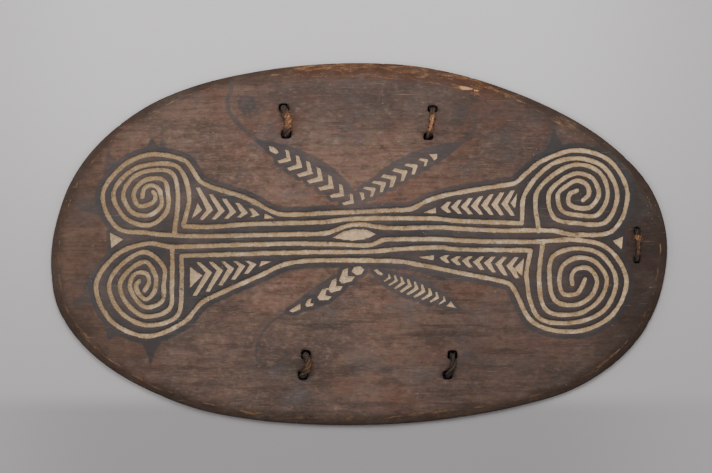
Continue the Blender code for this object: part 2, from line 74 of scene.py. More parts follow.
SPIRALS = {
    "upper_left": {
        "middle": (-339, 80), "ring": (79, 65, 64, 76, 75, 62),
        "short_foot": (-299, 15), "short_arm": (46, 50, 39, 39, 43, 40, 33, 26, 18, 17, 15, 13),
        "short_end": (-351, 76),
        "long_arm": (64, 64, 49, 50, 59, 54, 49, 39, 30, 33, 26, 24, 26, 25, 15, 12, 9),
        "long_end": (-334, 85)},
    "upper_right": {
        "middle": (354, 81), "ring": (78, 71, 75, 81, 82, 66),
        "short_foot": (290, 21), "short_arm": (67, 49, 48, 50, 49, 46, 34, 37, 32, 22, 22, 21, 18),
        "short_end": (362, 71),
        "long_arm": (86, 65, 58, 61, 64, 64, 47, 54, 47, 34, 34, 35, 34, 29, 22, 21, 13),
        "long_end": (353, 87)},
    "lower_left": {
        "middle": (-345, -66), "ring": (86, 83, 81, 81, 68, 67),
        "short_foot": (-302, -4), "short_arm": (42, 54, 51, 43, 42, 36, 37, 22, 16, 18, 23, 18, 16),
        "short_end": (-356, -59),
        "long_arm": (58, 71, 65, 60, 60, 51, 53, 41, 29, 37, 36, 27, 26, 25, 19, 7),
        "long_end": (-347, -75)},
    "lower_right": {
        "middle": (352, -58), "ring": (98, 83, 81, 81, 72, 65),
        "short_foot": (297, 3), "short_arm": (61, 69, 55, 49, 49, 42, 36, 32, 28, 31, 22, 13),
        "short_end": (366, -56),
        "long_arm": (81, 86, 68, 66, 64, 57, 51, 54, 44, 48, 40, 35, 33, 27, 18, 11),
        "long_end": (345, -65)}}
print(len(SPIRALS), "spirals")

# %% Long lines
UPPER_EDGE = ((-267, 116), (-258, 103), (-240, 93), (-184, 75), (-134, 50), (-109, 48), (-59, 50),
              (52, 55), (84, 57), (110, 70), (139, 79), (223, 94), (252, 99), (270, 114))
LOWER_EDGE = ((-255, -95), (-233, -83), (-159, -50), (-122, -33), (-85, -27), (-35, -26),
              (66, -28), (102, -34), (182, -50), (226, -59), (245, -66))
UPPER_OUTER = ((-284, 29), (-242, 28), (-184, 32), (-59, 36), (-10, 41), (65, 42), (131, 41),
               (153, 38), (263, 34))
LOWER_OUTER = ((-287, -19), (-258, -18), (-85, -13), (15, -12), (65, -8), (131, -5), (153, -8),
               (277, -10))
UPPER_INNER = ((-313, 15), (-258, 13), (-109, 16), (-59, 17), (-42, 21), (-22, 29), (3, 32),
               (23, 29), (52, 26), (131, 27), (182, 24), (237, 22), (309, 22))
LOWER_INNER = ((-303, -4), (-258, -3), (-109, 1), (-35, 0), (3, -2), (23, 0), (40, 7), (65, 8),
               (131, 8), (182, 5), (287, 4))
print(len(UPPER_EDGE), "points along the upper edge of the long lines")

# %% Upright rows of cuts
V_ROWS = (
    {"side": -1, "over": UPPER_EDGE, "under": UPPER_OUTER, "first": -236, "last": -161, "count": 5,
     "tip": 0.62, "lean": 0.55,
     "wedges": (((-261, 66), (-254, 55), (-270, 42)), ((-152, 49), (-137, 42), (-153, 41)))},
    {"side": 1, "over": UPPER_EDGE, "under": UPPER_OUTER, "first": 230, "last": 132, "count": 7,
     "tip": 0.50, "lean": 0.40,
     "wedges": (((245, 66), (255, 81), (252, 58)), ((124, 59), (105, 51), (124, 50)))},
    {"side": -1, "over": LOWER_OUTER, "under": LOWER_EDGE, "first": -238, "last": -166, "count": 5,
     "tip": 0.38, "lean": 0.60,
     "wedges": (((-273, -37), (-254, -51), (-273, -70)), ((-158, -28), (-142, -28), (-161, -36)))},
    {"side": 1, "over": LOWER_OUTER, "under": LOWER_EDGE, "first": 238, "last": 130, "count": 7,
     "tip": 0.45, "lean": 0.40,
     "wedges": (((266, -24), (251, -39), (263, -51)), ((121, -18), (97, -21), (120, -26)))})
V_REACH, V_STROKE, V_END_STROKE, END_SLOPE = 0.0080, 0.0100, 0.0060, 0.3
print(sum(row["count"] for row in V_ROWS), "cuts in the upright rows")

# %% Slanting rows of cuts
SLANT_ROWS = (
    {"line": ((-8, 66), (-59, 103), (-110, 135)), "count": 7, "points": -1,
     "arms": (0.0136, 0.0160), "leans": (1.08, 1.00), "stroke": 0.0098, "end_stroke": 0.0056,
     "blunt": 0.0, "sizes": (0.75, 1.0, 0.85),
     "ends": (((-146, 158), (-139, 157), (-133, 153), (-130, 148), (-135, 146), (-144, 151)),)},
    {"line": ((26, 90), (64, 111), (111, 136)), "count": 6, "points": 1,
     "arms": (0.0130, 0.0114), "leans": (1.25, 1.05), "stroke": 0.0090, "end_stroke": 0.0050,
     "blunt": 0.0015, "sizes": (0.80, 1.0, 0.62),
     "ends": (((1, 84), (7, 83), (9, 74), (5, 71)),
              ((113, 145), (126, 146), (126, 139), (121, 135), (118, 140)))},
    {"line": ((-30, -61), (-57, -83), (-86, -99)), "count": 4, "points": 1,
     "arms": (0.0104, 0.0120), "leans": (1.45, 1.30), "stroke": 0.0140, "end_stroke": 0.0078,
     "blunt": 0.0035, "sizes": (1.0, 0.90, 0.55),
     "ends": (((-12, -45), (-8, -37), (3, -36), (8, -41), (4, -48), (-4, -50)),
              ((-113, -108), (-95, -96), (-95, -105), (-107, -110)))},
    {"line": ((51, -55), (97, -73), (140, -92)), "count": 9, "points": 1,
     "arms": (0.0094, 0.0156), "leans": (0.90, 0.78), "stroke": 0.0066, "end_stroke": 0.0030,
     "blunt": 0.0, "sizes": (0.55, 1.0, 0.58),
     "ends": (((24, -42), (29, -41), (39, -48), (37, -50), (30, -48)),
              ((141, -100), (148, -93), (157, -103)))})
print(sum(row["count"] for row in SLANT_ROWS), "cuts in the slanting rows")

# %% Middle, wedges, flake and ties
LENS = ((-42, 11), (-25, 20), (-8, 24), (12, 23), (27, 16), (10, 8), (-10, 6), (-28, 8))
LEFT_WEDGE = ((-403, 18), (-382, 8), (-401, -6))
RIGHT_WEDGE = ((411, 5), (427, 12), (425, -8))
FLAKE_MIDDLE, FLAKE_TURN = (179, 251), math.radians(-12)
FLAKE_LENGTH, FLAKE_WIDTH, FLAKE_DEPTH = 0.042, 0.009, 0.0016
FLAKE_TAPER = 0.9

TIES = {
    "tie_upper_left": {"holes": ((-122, 220), (-118, 178)), "cord": 0.0110, "bow": 0.006,
                       "wide": (1.15, 1.05)},
    "tie_upper_right": {"holes": ((119, 219), (112, 174)), "cord": 0.0080, "bow": 0.002,
                        "wide": (1.38, 1.00)},
    "tie_lower_left": {"holes": ((-86, -179), (-91, -212)), "cord": 0.0100, "bow": 0.007,
                       "wide": (1.18, 1.18)},
    "tie_lower_right": {"holes": ((151, -179), (143, -212)), "cord": 0.0085, "bow": 0.005,
                        "wide": (1.35, 1.20)},
    "tie_end": {"holes": ((450, 22), (450, -26)), "cord": 0.0050, "bow": 0.003,
                "wide": (1.15, 1.20)}}


def place(points):
    """Points of the drawn pattern in metres, one to a row."""
    return np.array(points, float) * (LENGTH / DRAWN_LENGTH, WIDTH / DRAWN_WIDTH)


print(len(TIES), "ties, the first through", place(TIES["tie_upper_left"]["holes"]))


# %% [markdown]
# ## The rim and the dome
#
# The outline is an ellipse pulled in and out a little, because it was cut by eye. The board rises
# from a flat band round its edge to a low dome. Both are worked out for whole lists of points at
# once with numpy, since the board will have tens of thousands of them.

# %% Rim


def blend(part, start, end, slope, end_slope):
    """A smooth way from start to end that leaves and arrives with the given slopes."""
    return ((2 * part**3 - 3 * part**2 + 1) * start + (part**3 - 2 * part**2 + part) * slope
            + (3 * part**2 - 2 * part**3) * end + (part**3 - part**2) * end_slope)


def rim_share(angle):
    """How far the rim reaches in a direction, as a share of the plain ellipse."""
    count = len(RIM_SHARES)
    position = np.asarray(angle) / math.tau % 1.0 * count
    index = np.floor(position).astype(int)
    before, start, end, after = (RIM_SHARES[(index + k) % count] for k in (-1, 0, 1, 2))
    return blend(position - index, start, end, (end - before) / 2, (after - start) / 2)


corner_angles = np.arange(RIM_POINTS) * math.tau / RIM_POINTS
directions = np.stack([np.cos(corner_angles), np.sin(corner_angles)], 1)
corners = rim_share(corner_angles)[:, None] * directions
LOWEST, HIGHEST = corners.min(0), corners.max(0)
SPAN = np.array((LENGTH, WIDTH)) / (HIGHEST - LOWEST)


def on_rim(angle):
    """Points of the rim."""
    reach = rim_share(angle)
    around = np.stack([reach * np.cos(angle), reach * np.sin(angle)], -1)
    return (around - (LOWEST + HIGHEST) / 2) * SPAN


print("rim from", on_rim(math.pi), "to", on_rim(0.0))

# %% Dome


def lift(points):
    """How far the dome raises the board at each point."""
    drawn = points / SPAN + (LOWEST + HIGHEST) / 2
    rim = on_rim(np.arctan2(drawn[:, 1], drawn[:, 0]))
    outward = np.linalg.norm(points, axis=1) / (np.linalg.norm(rim, axis=1) - REST_LAND)
    return CROWN * (1.0 - np.minimum(1.0, outward)**CROWN_POWER)


def rough(points, size, seed):
    """Smooth noise from about -1 to 1 at each point, its features about size across."""
    return np.array([noise.noise((x / size, y / size, seed)) for x, y in points])


print("dome", lift(np.zeros((1, 2))), "high")

# %% [markdown]
# ## The lines that the carver cut
#
# Every groove is one smooth line. The lines are laid out as in the CAD source and then sampled
# every couple of millimetres, close enough for the cut edges to look cut and not drawn.

# %% Smooth lines
SAMPLE = 0.0022


def smooth(points, closed=False, step=SAMPLE):
    """A smooth curve through the points, sampled at about the given step."""
    points = np.asarray(points, float)
    count = len(points)

    def point(index):
        return points[index % count] if closed else points[min(max(index, 0), count - 1)]

    def slope(index):
        length = sum(np.linalg.norm(point(index + k + 1) - point(index + k)) for k in (-1, 0))
        return (point(index + 1) - point(index - 1)) / length

    route = []
    for index in range(count if closed else count - 1):
        start, end = point(index), point(index + 1)
        length = np.linalg.norm(end - start)
        steps = max(1, round(length / step))
        part = (np.arange(steps) / steps)[:, None]
        route.append(blend(part, start, end, length * slope(index), length * slope(index + 1)))
    if not closed:
        route.append(points[-1:])
    return np.concatenate(route)


def sideways(line, closed=False):
    """The direction square to a flat line at each of its points, to its left."""
    ahead = np.roll(line, -1, axis=0) - np.roll(line, 1, axis=0) if closed else np.gradient(line, axis=0)
    return np.stack([-ahead[:, 1], ahead[:, 0]], 1) / np.linalg.norm(ahead, axis=1)[:, None]


# %% Groove lines


def spiral_points(name, distances, first_turn=0):
    """Points round a spiral's middle, one for each eighth of a turn."""
    middle = SPIRALS[name]["middle"]
    side = 1 if name.endswith("right") else -1
    away = 1 if name.startswith("upper") else -1
    return [(middle[0] - side * distance * math.cos(index * math.tau / 8),
             middle[1] + away * distance * math.sin(index * math.tau / 8))
            for index, distance in enumerate(distances, first_turn)]


GROOVES = []
for half, edge, inner, outer in (("upper", UPPER_EDGE, UPPER_INNER, UPPER_OUTER),
                                 ("lower", LOWER_EDGE, LOWER_INNER, LOWER_OUTER)):
    left, right = (spiral_points(half + hand, SPIRALS[half + hand]["ring"], 1)
                   for hand in ("_left", "_right"))
    GROOVES.append((smooth(place(list(inner) + right[::-1] + list(edge)[::-1] + left), True), True))
    GROOVES.append((smooth(place(outer)), False))
    for name, foot in ((half + "_left", outer[0]), (half + "_right", outer[-1])):
        spiral = SPIRALS[name]
        for start, turns, end in ((foot, "long_arm", "long_end"),
                                  (spiral["short_foot"], "short_arm", "short_end")):
            points = [start] + spiral_points(name, spiral[turns]) + [spiral[end]]
            GROOVES.append((smooth(place(points)), False))
print(len(GROOVES), "grooves,", sum(len(route) for route, _ in GROOVES), "samples")

# %% [markdown]
# The small cuts are outlines: V shapes standing in rows, wedges, and the long pointed oval in the
# middle. The upright rows fit between two of the long lines, so each V is worked out from the
# heights of those lines where it stands.

# %% Cuts of the upright rows


def height_on(line, x):
    """How high a line of the pattern runs at a place along the board."""
    drawn = place(line)
    return np.interp(x, drawn[:, 0], drawn[:, 1])


def row_vee(row, tip_x):
    """One V of an upright row, its tip towards the middle of the board."""
    side = row["side"]

    def ends(x):
        return height_on(row["over"], x) - FIELD_MARGIN, height_on(row["under"], x) + FIELD_MARGIN

    top, bottom = ends(tip_x)
    tip_y = top - (top - bottom) * row["tip"]
    top_x = tip_x + side * (V_REACH + row["lean"] * (top - tip_y))
    bottom_x = tip_x + side * (V_REACH + row["lean"] * (tip_y - bottom))
    top, bottom = ends(top_x)[0], ends(bottom_x)[1]
    return [(top_x, top), (tip_x, tip_y), (bottom_x, bottom),
            (bottom_x + side * V_END_STROKE, bottom), (tip_x + side * V_STROKE, tip_y),
            (top_x + side * V_END_STROKE, top)]


CUTS = [place(shape) for shape in (LENS, LEFT_WEDGE, RIGHT_WEDGE)]
for row in V_ROWS:
    for tip in np.linspace(row["first"], row["last"], row["count"]):
        CUTS.append(np.array(row_vee(row, tip * LENGTH / DRAWN_LENGTH)))
    CUTS.extend(place(wedge) for wedge in row["wedges"])
print(len(CUTS), "cuts in the upright rows and the middle")

# %% Cuts of the slanting rows


def slant_row(row):
    """The V cuts of one slanting row, smaller towards both ends, and the shapes that end it."""
    line = smooth(place(row["line"]), step=0.001)
    ahead = np.gradient(line, axis=0)
    ahead /= np.linalg.norm(ahead, axis=1)[:, None]
    first, middle, last = row["sizes"]
    cuts = [place(end) for end in row["ends"]]
    for share in np.linspace(0, 1, row["count"]):
        at = round(share * (len(line) - 1))
        forward = ahead[at] * row["points"]
        across = np.array((-forward[1], forward[0]))
        size = middle - (middle - (first if share < 0.5 else last)) * (2 * share - 1)**2
        left, right = (size * arm for arm in row["arms"])
        left_back, right_back = -left * row["leans"][0], -right * row["leans"][1]
        stroke, end, blunt = (size * row[name] for name in ("stroke", "end_stroke", "blunt"))
        tip = [(0.0, blunt), (0.0, -blunt)] if blunt else [(0.0, 0.0)]
        local = tip + [(right_back, -right), (right_back - end, end * END_SLOPE - right),
                       (-stroke, 0.0), (left_back - end, left - end * END_SLOPE), (left_back, left)]
        cuts.append(np.array([line[at] + a * forward + b * across for a, b in local]))
    return cuts


for row in SLANT_ROWS:
    CUTS.extend(slant_row(row))

# %% Chisel edges
CHISEL_SIZE, CHISEL_PUSH = 0.006, 0.0006


def hand_cut(outline, seed):
    """The outline sampled finely and pushed about a little, as a chisel leaves it."""
    ring = []
    for start, end in zip(outline, np.roll(outline, -1, axis=0)):
        steps = max(2, round(np.linalg.norm(end - start) / SAMPLE))
        ring.append(start + (end - start) * (np.arange(steps) / steps)[:, None])
    ring = np.concatenate(ring)
    push = np.stack([rough(ring, CHISEL_SIZE, seed), rough(ring, CHISEL_SIZE, seed + 0.5)], 1)
    return ring + push * CHISEL_PUSH


CUTS = [hand_cut(outline, index) for index, outline in enumerate(CUTS)]
print(len(CUTS), "small cuts")

# %% [markdown]
# ## What is only painted
#
# Some of the pattern was never cut: the charcoal round the spirals runs out into star-like points,
# and thin painted stalks leave the slanting rows and hook round faint discs. They are outlines and
# lines like the rest, so they can be kept on the vertices in the same way.

# %% Painted shapes
PAINTED = [place(shape) for shape in (
    ((-366, 144), (-350, 155), (-341, 164), (-335, 175), (-330, 164), (-319, 155), (-300, 144)),
    ((292, 144), (305, 157), (311, 172), (315, 192), (320, 176), (331, 160), (358, 148)),
    ((-372, -143), (-354, -158), (-344, -176), (-338, -200), (-331, -176), (-320, -158), (-292, -142)),
    ((-414, -118), (-410, -140), (-407, -160), (-397, -150), (-374, -142)))]
FAINT = [place(shape) for shape in (
    ((-326, 150), (-322, 168), (-320, 192), (-316, 168), (-306, 150)),
    ((-414, 112), (-411, 138), (-407, 158), (-401, 142), (-385, 130)),
    ((-464, 64), (-446, 72), (-420, 74), (-412, 44), (-436, 50)),
    ((-471, -100), (-452, -84), (-438, -50), (-424, -60), (-418, -100), (-440, -96)),
    ((276, 138), (296, 158), (308, 182), (315, 212), (324, 186), (342, 164), (380, 146)),
    ((284, 138), (290, 153), (306, 140)), ((358, -134), (370, -158), (384, -136)),
    ((254, -120), (264, -140), (273, -170), (286, -152), (312, -140)),
    ((400, 150), (440, 118), (470, 60), (452, 24), (428, 30), (430, 90), (404, 128)))]
LEAVES = (((-4, 78), (-70, 118), (-168, 169), 0.0205), ((4, 80), (60, 115), (172, 167), 0.0190),
          ((2, -36), (-50, -76), (-122, -114), 0.0175), ((14, -36), (88, -74), (168, -105), 0.0145))
HOOKS = [(smooth(place(line), step=0.003), width) for line, width in (
    (((-155, 160), (-181, 180), (-200, 200), (-211, 216), (-213, 235), (-208, 248), (-206, 262)), 3.6),
    (((170, 166), (183, 180), (188, 196), (184, 213)), 2.6),
    (((-117, -110), (-137, -122), (-152, -138), (-162, -154), (-166, -174), (-165, -186),
      (-155, -197)), 2.2),
    (((-119, -172), (-120, -186), (-130, -197)), 3.0),
    (((157, -100), (174, -109), (194, -123), (206, -139), (212, -159), (212, -172), (206, -185),
      (194, -191)), 1.6))]
DISCS = (((-182, 227), 15, 20), ((165, 213), 15, 0), ((-140, -183), 0, 18), ((184, -171), 13, 17))


def leaf(start, middle, end, half):
    """A long leaf along a line, pointed at both ends."""
    line = smooth(place((start, middle, end)), step=0.004)
    reach = half * np.sin(math.pi * np.linspace(0, 1, len(line))**0.9)**0.8
    side = sideways(line) * reach[:, None]
    return np.concatenate([line + side, (line - side)[::-1]])


PAINTED.extend(leaf(*shape) for shape in LEAVES)
print(len(PAINTED), "dark shapes,", len(FAINT), "faint ones and", len(HOOKS), "stalks")

# %% [markdown]
# ## The board's points
#
# A flat triangle mesh is spread over the outline first and shaped afterwards, as one might lay a
# net and press it into the carving. `delaunay_2d_cdt` makes the net: it joins any set of points
# into triangles and keeps the edges that it is told to keep. Those edges follow both sides of
# every groove, so the cuts stay crisp with far fewer faces than an even grid would need. Away
# from the carving the points are wide apart.

# %% Distances


def distance_to(points, targets):
    """The distance from each point to the nearest of the targets."""
    tree = kdtree.KDTree(len(targets))
    for index, (x, y) in enumerate(targets):
        tree.insert((x, y, 0.0), index)
    tree.balance()
    return np.array([tree.find((x, y, 0.0))[2] for x, y in points])


def finer(route, closed=False, count=5):
    """The route with more samples along its straight pieces."""
    ends = np.roll(route, -1, axis=0) if closed else route[1:]
    starts = route if closed else route[:-1]
    parts = (np.arange(count) / count)[None, :, None]
    return (starts[:, None] + (ends - starts)[:, None] * parts).reshape(-1, 2)


def travelled_along(line):
    """How far along a line each of its points lies."""
    return np.concatenate([[0], np.cumsum(np.linalg.norm(np.diff(line, axis=0), axis=1))])


# %% Inside and outside
# Distances to an outline are only wanted this far from it.
FAR = 0.03


def inside(points, outline):
    """Whether each point lies inside a closed outline."""
    x, y = points.T
    found = np.zeros(len(points), bool)
    for (ax, ay), (bx, by) in zip(outline, np.roll(outline, -1, axis=0)):
        if ay != by:
            found ^= ((ay > y) != (by > y)) & (x < (bx - ax) * (y - ay) / (by - ay) + ax)
    return found


def depth_in(points, outlines):
    """How deep each point lies in the nearest outline: below zero outside, never below -FAR."""
    depth = np.full(len(points), -FAR)
    for outline in outlines:
        low, high = outline.min(0) - FAR, outline.max(0) + FAR
        near = np.flatnonzero(((points > low) & (points < high)).all(1))
        if len(near) == 0:
            continue
        spots = points[near]
        best = np.full(len(near), FAR)
        for start, end in zip(outline, np.roll(outline, -1, axis=0)):
            way = end - start
            share = np.clip((spots - start) @ way / max(way @ way, 1e-12), 0, 1)
            best = np.minimum(best, np.linalg.norm(spots - start - share[:, None] * way, axis=1))
        depth[near] = np.maximum(depth[near], np.where(inside(spots, outline), best, -best))
    return depth


# %% Rim line
RIM_STEP = 0.003
angles = np.linspace(0, math.tau, 4000, endpoint=False)
travelled = travelled_along(on_rim(angles))
rim_count = round(travelled[-1] / RIM_STEP)
RIM_LINE = on_rim(np.interp(np.linspace(0, travelled[-1], rim_count, endpoint=False), travelled, angles))


def inset(line, distance):
    """A closed line that runs counter-clockwise, moved inwards."""
    return line + sideways(line, True) * np.reshape(distance, (-1, 1))


def facet_width(points):
    """The facet round the rim, wider in some places than in others."""
    return FACET_WIDTH * (0.95 + 0.25 * rough(points, 0.06, 9.0) + 0.10 * rough(points, 0.012, 2))


nicks = np.maximum(0.0, rough(RIM_LINE, 0.011, 7.0) - 0.35) * 0.004
nicks += np.maximum(0.0, rough(RIM_LINE, 0.004, 8.0) - 0.30) * 0.0016
RIM_TOP = inset(RIM_LINE, 0.0008 + nicks)
print(rim_count, "points round the rim, nicked", nicks.max(), "deep at most")

# %% Holes and groove edges
HOLE_POINTS = 16
WOBBLE, WOBBLE_SIZE = 0.0009, 0.016
ALL_GROOVES = np.concatenate([finer(route, closed) for route, closed in GROOVES])


def hole_ring(tie, hole):
    """A slightly squared hole, wider than its cord."""
    radius = tie["cord"] / 2 + HOLE_CLEARANCE
    turn = np.arange(HOLE_POINTS) * math.tau / HOLE_POINTS
    square = (np.abs(np.cos(turn))**4 + np.abs(np.sin(turn))**4)**-0.25
    way = np.stack([np.cos(turn), np.sin(turn)], 1) * tie["wide"]
    ring = place(hole) + way * (radius * square * 0.94)[:, None]
    return ring + rough(ring, 0.006, 5.0)[:, None] * 0.0007


def groove_depth(points):
    """How far each point lies inside the edge of the nearest groove."""
    return (GROOVE_WIDTH / 2 - distance_to(points, ALL_GROOVES)
            + WOBBLE * rough(points, WOBBLE_SIZE, 3.0))


def offset_pair(route, closed, reach):
    """Two lines beside a groove, wobbling as its edges do."""
    side = sideways(route, closed)
    for way in (1, -1):
        guess = route + side * way * reach
        yield route + side * way * (reach + WOBBLE * rough(guess, WOBBLE_SIZE, 3.0))[:, None]


HOLES = [hole_ring(tie, hole) for tie in TIES.values() for hole in tie["holes"]]
print(len(HOLES), "holes")

# %% Kept edges
points, kept = [], []


def keep(line, closed):
    """Adds a line's points, and the edges between them, to the net."""
    first = sum(len(p) for p in points)
    points.append(np.asarray(line))
    count = len(line)
    kept.extend((first + k, first + (k + 1) % count) for k in range(count if closed else count - 1))


keep(RIM_TOP, True)
for ring in HOLES:
    keep(ring, True)
for route, closed in GROOVES:
    for reach in (GROOVE_WIDTH / 2, GROOVE_FLOOR_WIDTH / 2):
        for line in offset_pair(route, closed, reach):
            keep(line, closed)
for outline in CUTS:
    keep(outline, True)
keep(inset(RIM_LINE, facet_width(RIM_LINE)), True)
fixed = np.concatenate(points)
print(len(kept), "kept edges")

# %% Loose points
FINE, MIDDLE, COARSE = 0.0023, 0.0032, 0.0050
NEAR_CARVING, NEAR_PAINT, RIM_ZONE = 0.010, 0.004, 0.016
box_low, box_high = RIM_LINE.min(0), RIM_LINE.max(0)


def spread(step):
    """Points in staggered rows over the board's box, each pushed about a little."""
    xs = np.arange(box_low[0], box_high[0], step)
    ys = np.arange(box_low[1], box_high[1], step * 0.866)
    grid = np.stack(np.meshgrid(xs, ys), -1)
    grid[1::2, :, 0] += step / 2
    grid = grid.reshape(-1, 2)
    return grid + np.random.default_rng(11).uniform(-0.18, 0.18, grid.shape) * step


def in_board(points, outline):
    """Whether each point lies inside the outline and outside the holes."""
    wanted = inside(points, outline)
    for ring in HOLES:
        wanted &= ~inside(points, ring)
    return wanted


paint_lines = np.concatenate([finer(shape, True) for shape in PAINTED] + [line for line, _ in HOOKS])
for step in (FINE, MIDDLE, COARSE):
    loose = spread(step)
    loose = loose[in_board(loose, inset(RIM_LINE, 0.0025 + nicks)[::3])]
    carved = distance_to(loose, np.concatenate([ALL_GROOVES] + CUTS))
    drawn = np.minimum(distance_to(loose, paint_lines), distance_to(loose, RIM_LINE) - RIM_ZONE)
    drawn = np.minimum(drawn, carved - NEAR_CARVING)
    wanted = np.where(carved < NEAR_CARVING, FINE, np.where(drawn < NEAR_PAINT, MIDDLE, COARSE))
    loose = loose[wanted == step]
    fixed = np.concatenate([fixed, loose[distance_to(loose, fixed) > step * 0.45]])
print(len(fixed), "points")

# %% [markdown]
# `delaunay_2d_cdt` may add points where kept edges cross, so it also says where each given point
# went. That is how the rim and the holes of the face are found again and joined to the back.

# %% Triangles


def triangulated(spots, outline):
    """Points, triangles inside the outline and outside the holes, and where each point went."""
    made = geometry.delaunay_2d_cdt([Vector(spot) for spot in spots], kept, [], 0, 1e-7)
    flat = np.array([tuple(v) for v in made[0]])
    faces = np.array(made[2])
    where = np.full(len(spots), -1)
    for new, olds in enumerate(made[3]):
        where[list(olds)] = new
    faces = faces[in_board(flat[faces].mean(1), outline)]
    a, b, c = (flat[faces[:, k]] for k in range(3))
    turned = (b[:, 0] - a[:, 0]) * (c[:, 1] - a[:, 1]) - (b[:, 1] - a[:, 1]) * (c[:, 0] - a[:, 0]) < 0
    faces[turned] = faces[turned][:, ::-1]
    return flat, faces, where


FACE, FACE_TRIANGLES, face_where = triangulated(fixed, RIM_TOP)
print(len(FACE), "points and", len(FACE_TRIANGLES), "triangles on the face")

# %% [markdown]
# ## Pressing the net into the carving
#
# Each point now gets its height: the thickness, the dome, the facet that falls away at the rim,
# the grooves and small cuts, the flake by the rim, and a slight unevenness everywhere. The floors
# aren't flat either, because a gouge takes the wood out in short strokes.

# %% Board, facet and chips
WAVES, PLANE_MARKS, CHIPS = 0.0004, 0.00022, 0.0022
EDGE_ROUNDING, RIDGE_WEAR, RIDGE_REACH = 0.0012, 0.0005, 0.003


def step_up(values, low, high):
    """From 0 at low to 1 at high, smoothly."""
    part = np.clip((values - low) / (high - low), 0, 1)
    return part * part * (3 - 2 * part)


from_rim = distance_to(FACE, finer(RIM_LINE, True, 4))
facet_here = facet_width(FACE)
height = THICKNESS + lift(FACE)
height += WAVES * rough(FACE, 0.09, 1.0) - WAVES
height += PLANE_MARKS * rough(FACE * (0.3, 1.0), 0.010, 1.5) - 0.0001
facet_fall = np.clip(1 - from_rim / facet_here, 0, 1)
height -= FACET_DROP * facet_fall + EDGE_ROUNDING * step_up(facet_fall, 0.72, 1.0)
height -= RIDGE_WEAR * np.exp(-((from_rim - facet_here) / RIDGE_REACH)**2)
chips = np.maximum(0, rough(FACE, 0.010, 12.0) - 0.15) * step_up(-from_rim, -0.018, -0.004)
height -= CHIPS * chips
print("face up to", height.max(), "before the carving")

# %% Grooves, cuts and flake
FLOOR_SLOPE = (GROOVE_WIDTH - GROOVE_FLOOR_WIDTH) / 2
CUT_SLOPE, SOFT_EDGE, SOFT_REACH, GOUGE_MARKS = 0.0016, 0.00035, 0.0012, 0.00022
groove_in, cut_in = groove_depth(FACE), depth_in(FACE, CUTS)
strokes = GOUGE_MARKS * rough(FACE, 0.011, 6.0)
height -= (GROOVE_DEPTH + strokes) * step_up(groove_in, -0.0002, FLOOR_SLOPE)
left_over = 1 - step_up(groove_in, 0.0, FLOOR_SLOPE)
height -= (NOTCH_DEPTH + strokes) * step_up(cut_in, -0.0001, CUT_SLOPE) * left_over
carved_in = np.maximum(groove_in, cut_in)
height -= SOFT_EDGE * np.exp(-np.clip(-carved_in, 0, 1) / SOFT_REACH) * (carved_in < 0)
flake = FACE - place(FLAKE_MIDDLE)
cos, sin = math.cos(FLAKE_TURN), math.sin(FLAKE_TURN)
flake_along = flake @ (cos, sin) / (FLAKE_LENGTH / 2)
flake_across = flake @ (-sin, cos) / (FLAKE_WIDTH / 2)
flake_in = 1 - flake_along**2 - (flake_across * (1.5 + FLAKE_TAPER * flake_along))**2
flake_in += 0.20 * rough(FACE, 0.006, 4.0)
height -= FLAKE_DEPTH * np.sqrt(np.clip(flake_in, 0, 1))
print("deepest cut", (THICKNESS + lift(FACE) - height).max())

# %% Distances to the paint
HALO, CUT_HALO, RING_STROKE = 0.0080, 0.0070, 0.0012
hook_in = np.full(len(FACE), -FAR)
disc_in = depth_in(FACE, FAINT)
for line, width in HOOKS:
    hook_in = np.maximum(hook_in, width / 1000 - distance_to(FACE, finer(line)))
for middle, radius, ring in DISCS:
    away = np.linalg.norm(FACE - place(middle), axis=1)
    if radius:
        disc_in = np.maximum(disc_in, radius / 1000 - away)
    if ring:
        hook_in = np.maximum(hook_in, RING_STROKE - np.abs(away - ring / 1000))
dark_in = np.maximum(np.maximum(groove_in + HALO, cut_in + CUT_HALO), depth_in(FACE, PAINTED))
for route, closed in GROOVES:
    if closed:
        dark_in = np.where(inside(FACE, route), FAR, dark_in)
print("painted", np.mean(dark_in > 0), "of the points")

# %% [markdown]
# Two more distances are kept: how far round the rim a point lies, so that cracks can run along
# the edge, and how far it is from the nearest cord, because grime gathers there and the painted
# shade of the cord falls there.

# %% Way round the rim and distance to the cords
rim_turn = np.unwrap(np.arctan2(RIM_LINE[:, 1], RIM_LINE[:, 0]))
turn_here = np.arctan2(FACE[:, 1], FACE[:, 0])
around = np.interp((turn_here - rim_turn[0]) % math.tau, rim_turn - rim_turn[0], travelled_along(RIM_LINE))
tie_far = np.full(len(FACE), 0.05)
for tie in TIES.values():
    start, end = place(tie["holes"])
    steps = np.linspace(0, 1, 9)[:, None]
    bow = np.array((start[1] - end[1], end[0] - start[0])) / np.linalg.norm(end - start) * tie["bow"]
    cord_line = start + (end - start) * steps + bow * np.sin(math.pi * steps)
    tie_far = np.minimum(tie_far, distance_to(FACE, finer(cord_line)) - tie["cord"] / 2)
MASKS = {"carved": np.maximum(groove_in - 0.00045, cut_in * 1.7 + 0.0008), "small": cut_in,
         "dark": dark_in, "hook": hook_in, "disc": disc_in, "rim": from_rim, "around": around,
         "tie": tie_far, "facet": from_rim - facet_here, "flake": flake_in / 1000}
print(len(MASKS), "numbers kept on each point")

# %% [markdown]
# ## The back and the edge
#
# The back is a net of the same kind, much coarser, hollowed to follow the dome. It was never
# meant to be seen, so it only keeps the shallow marks of the tool. Its rim and holes have as many
# points as those of the face, and strips of triangles between them close the board.

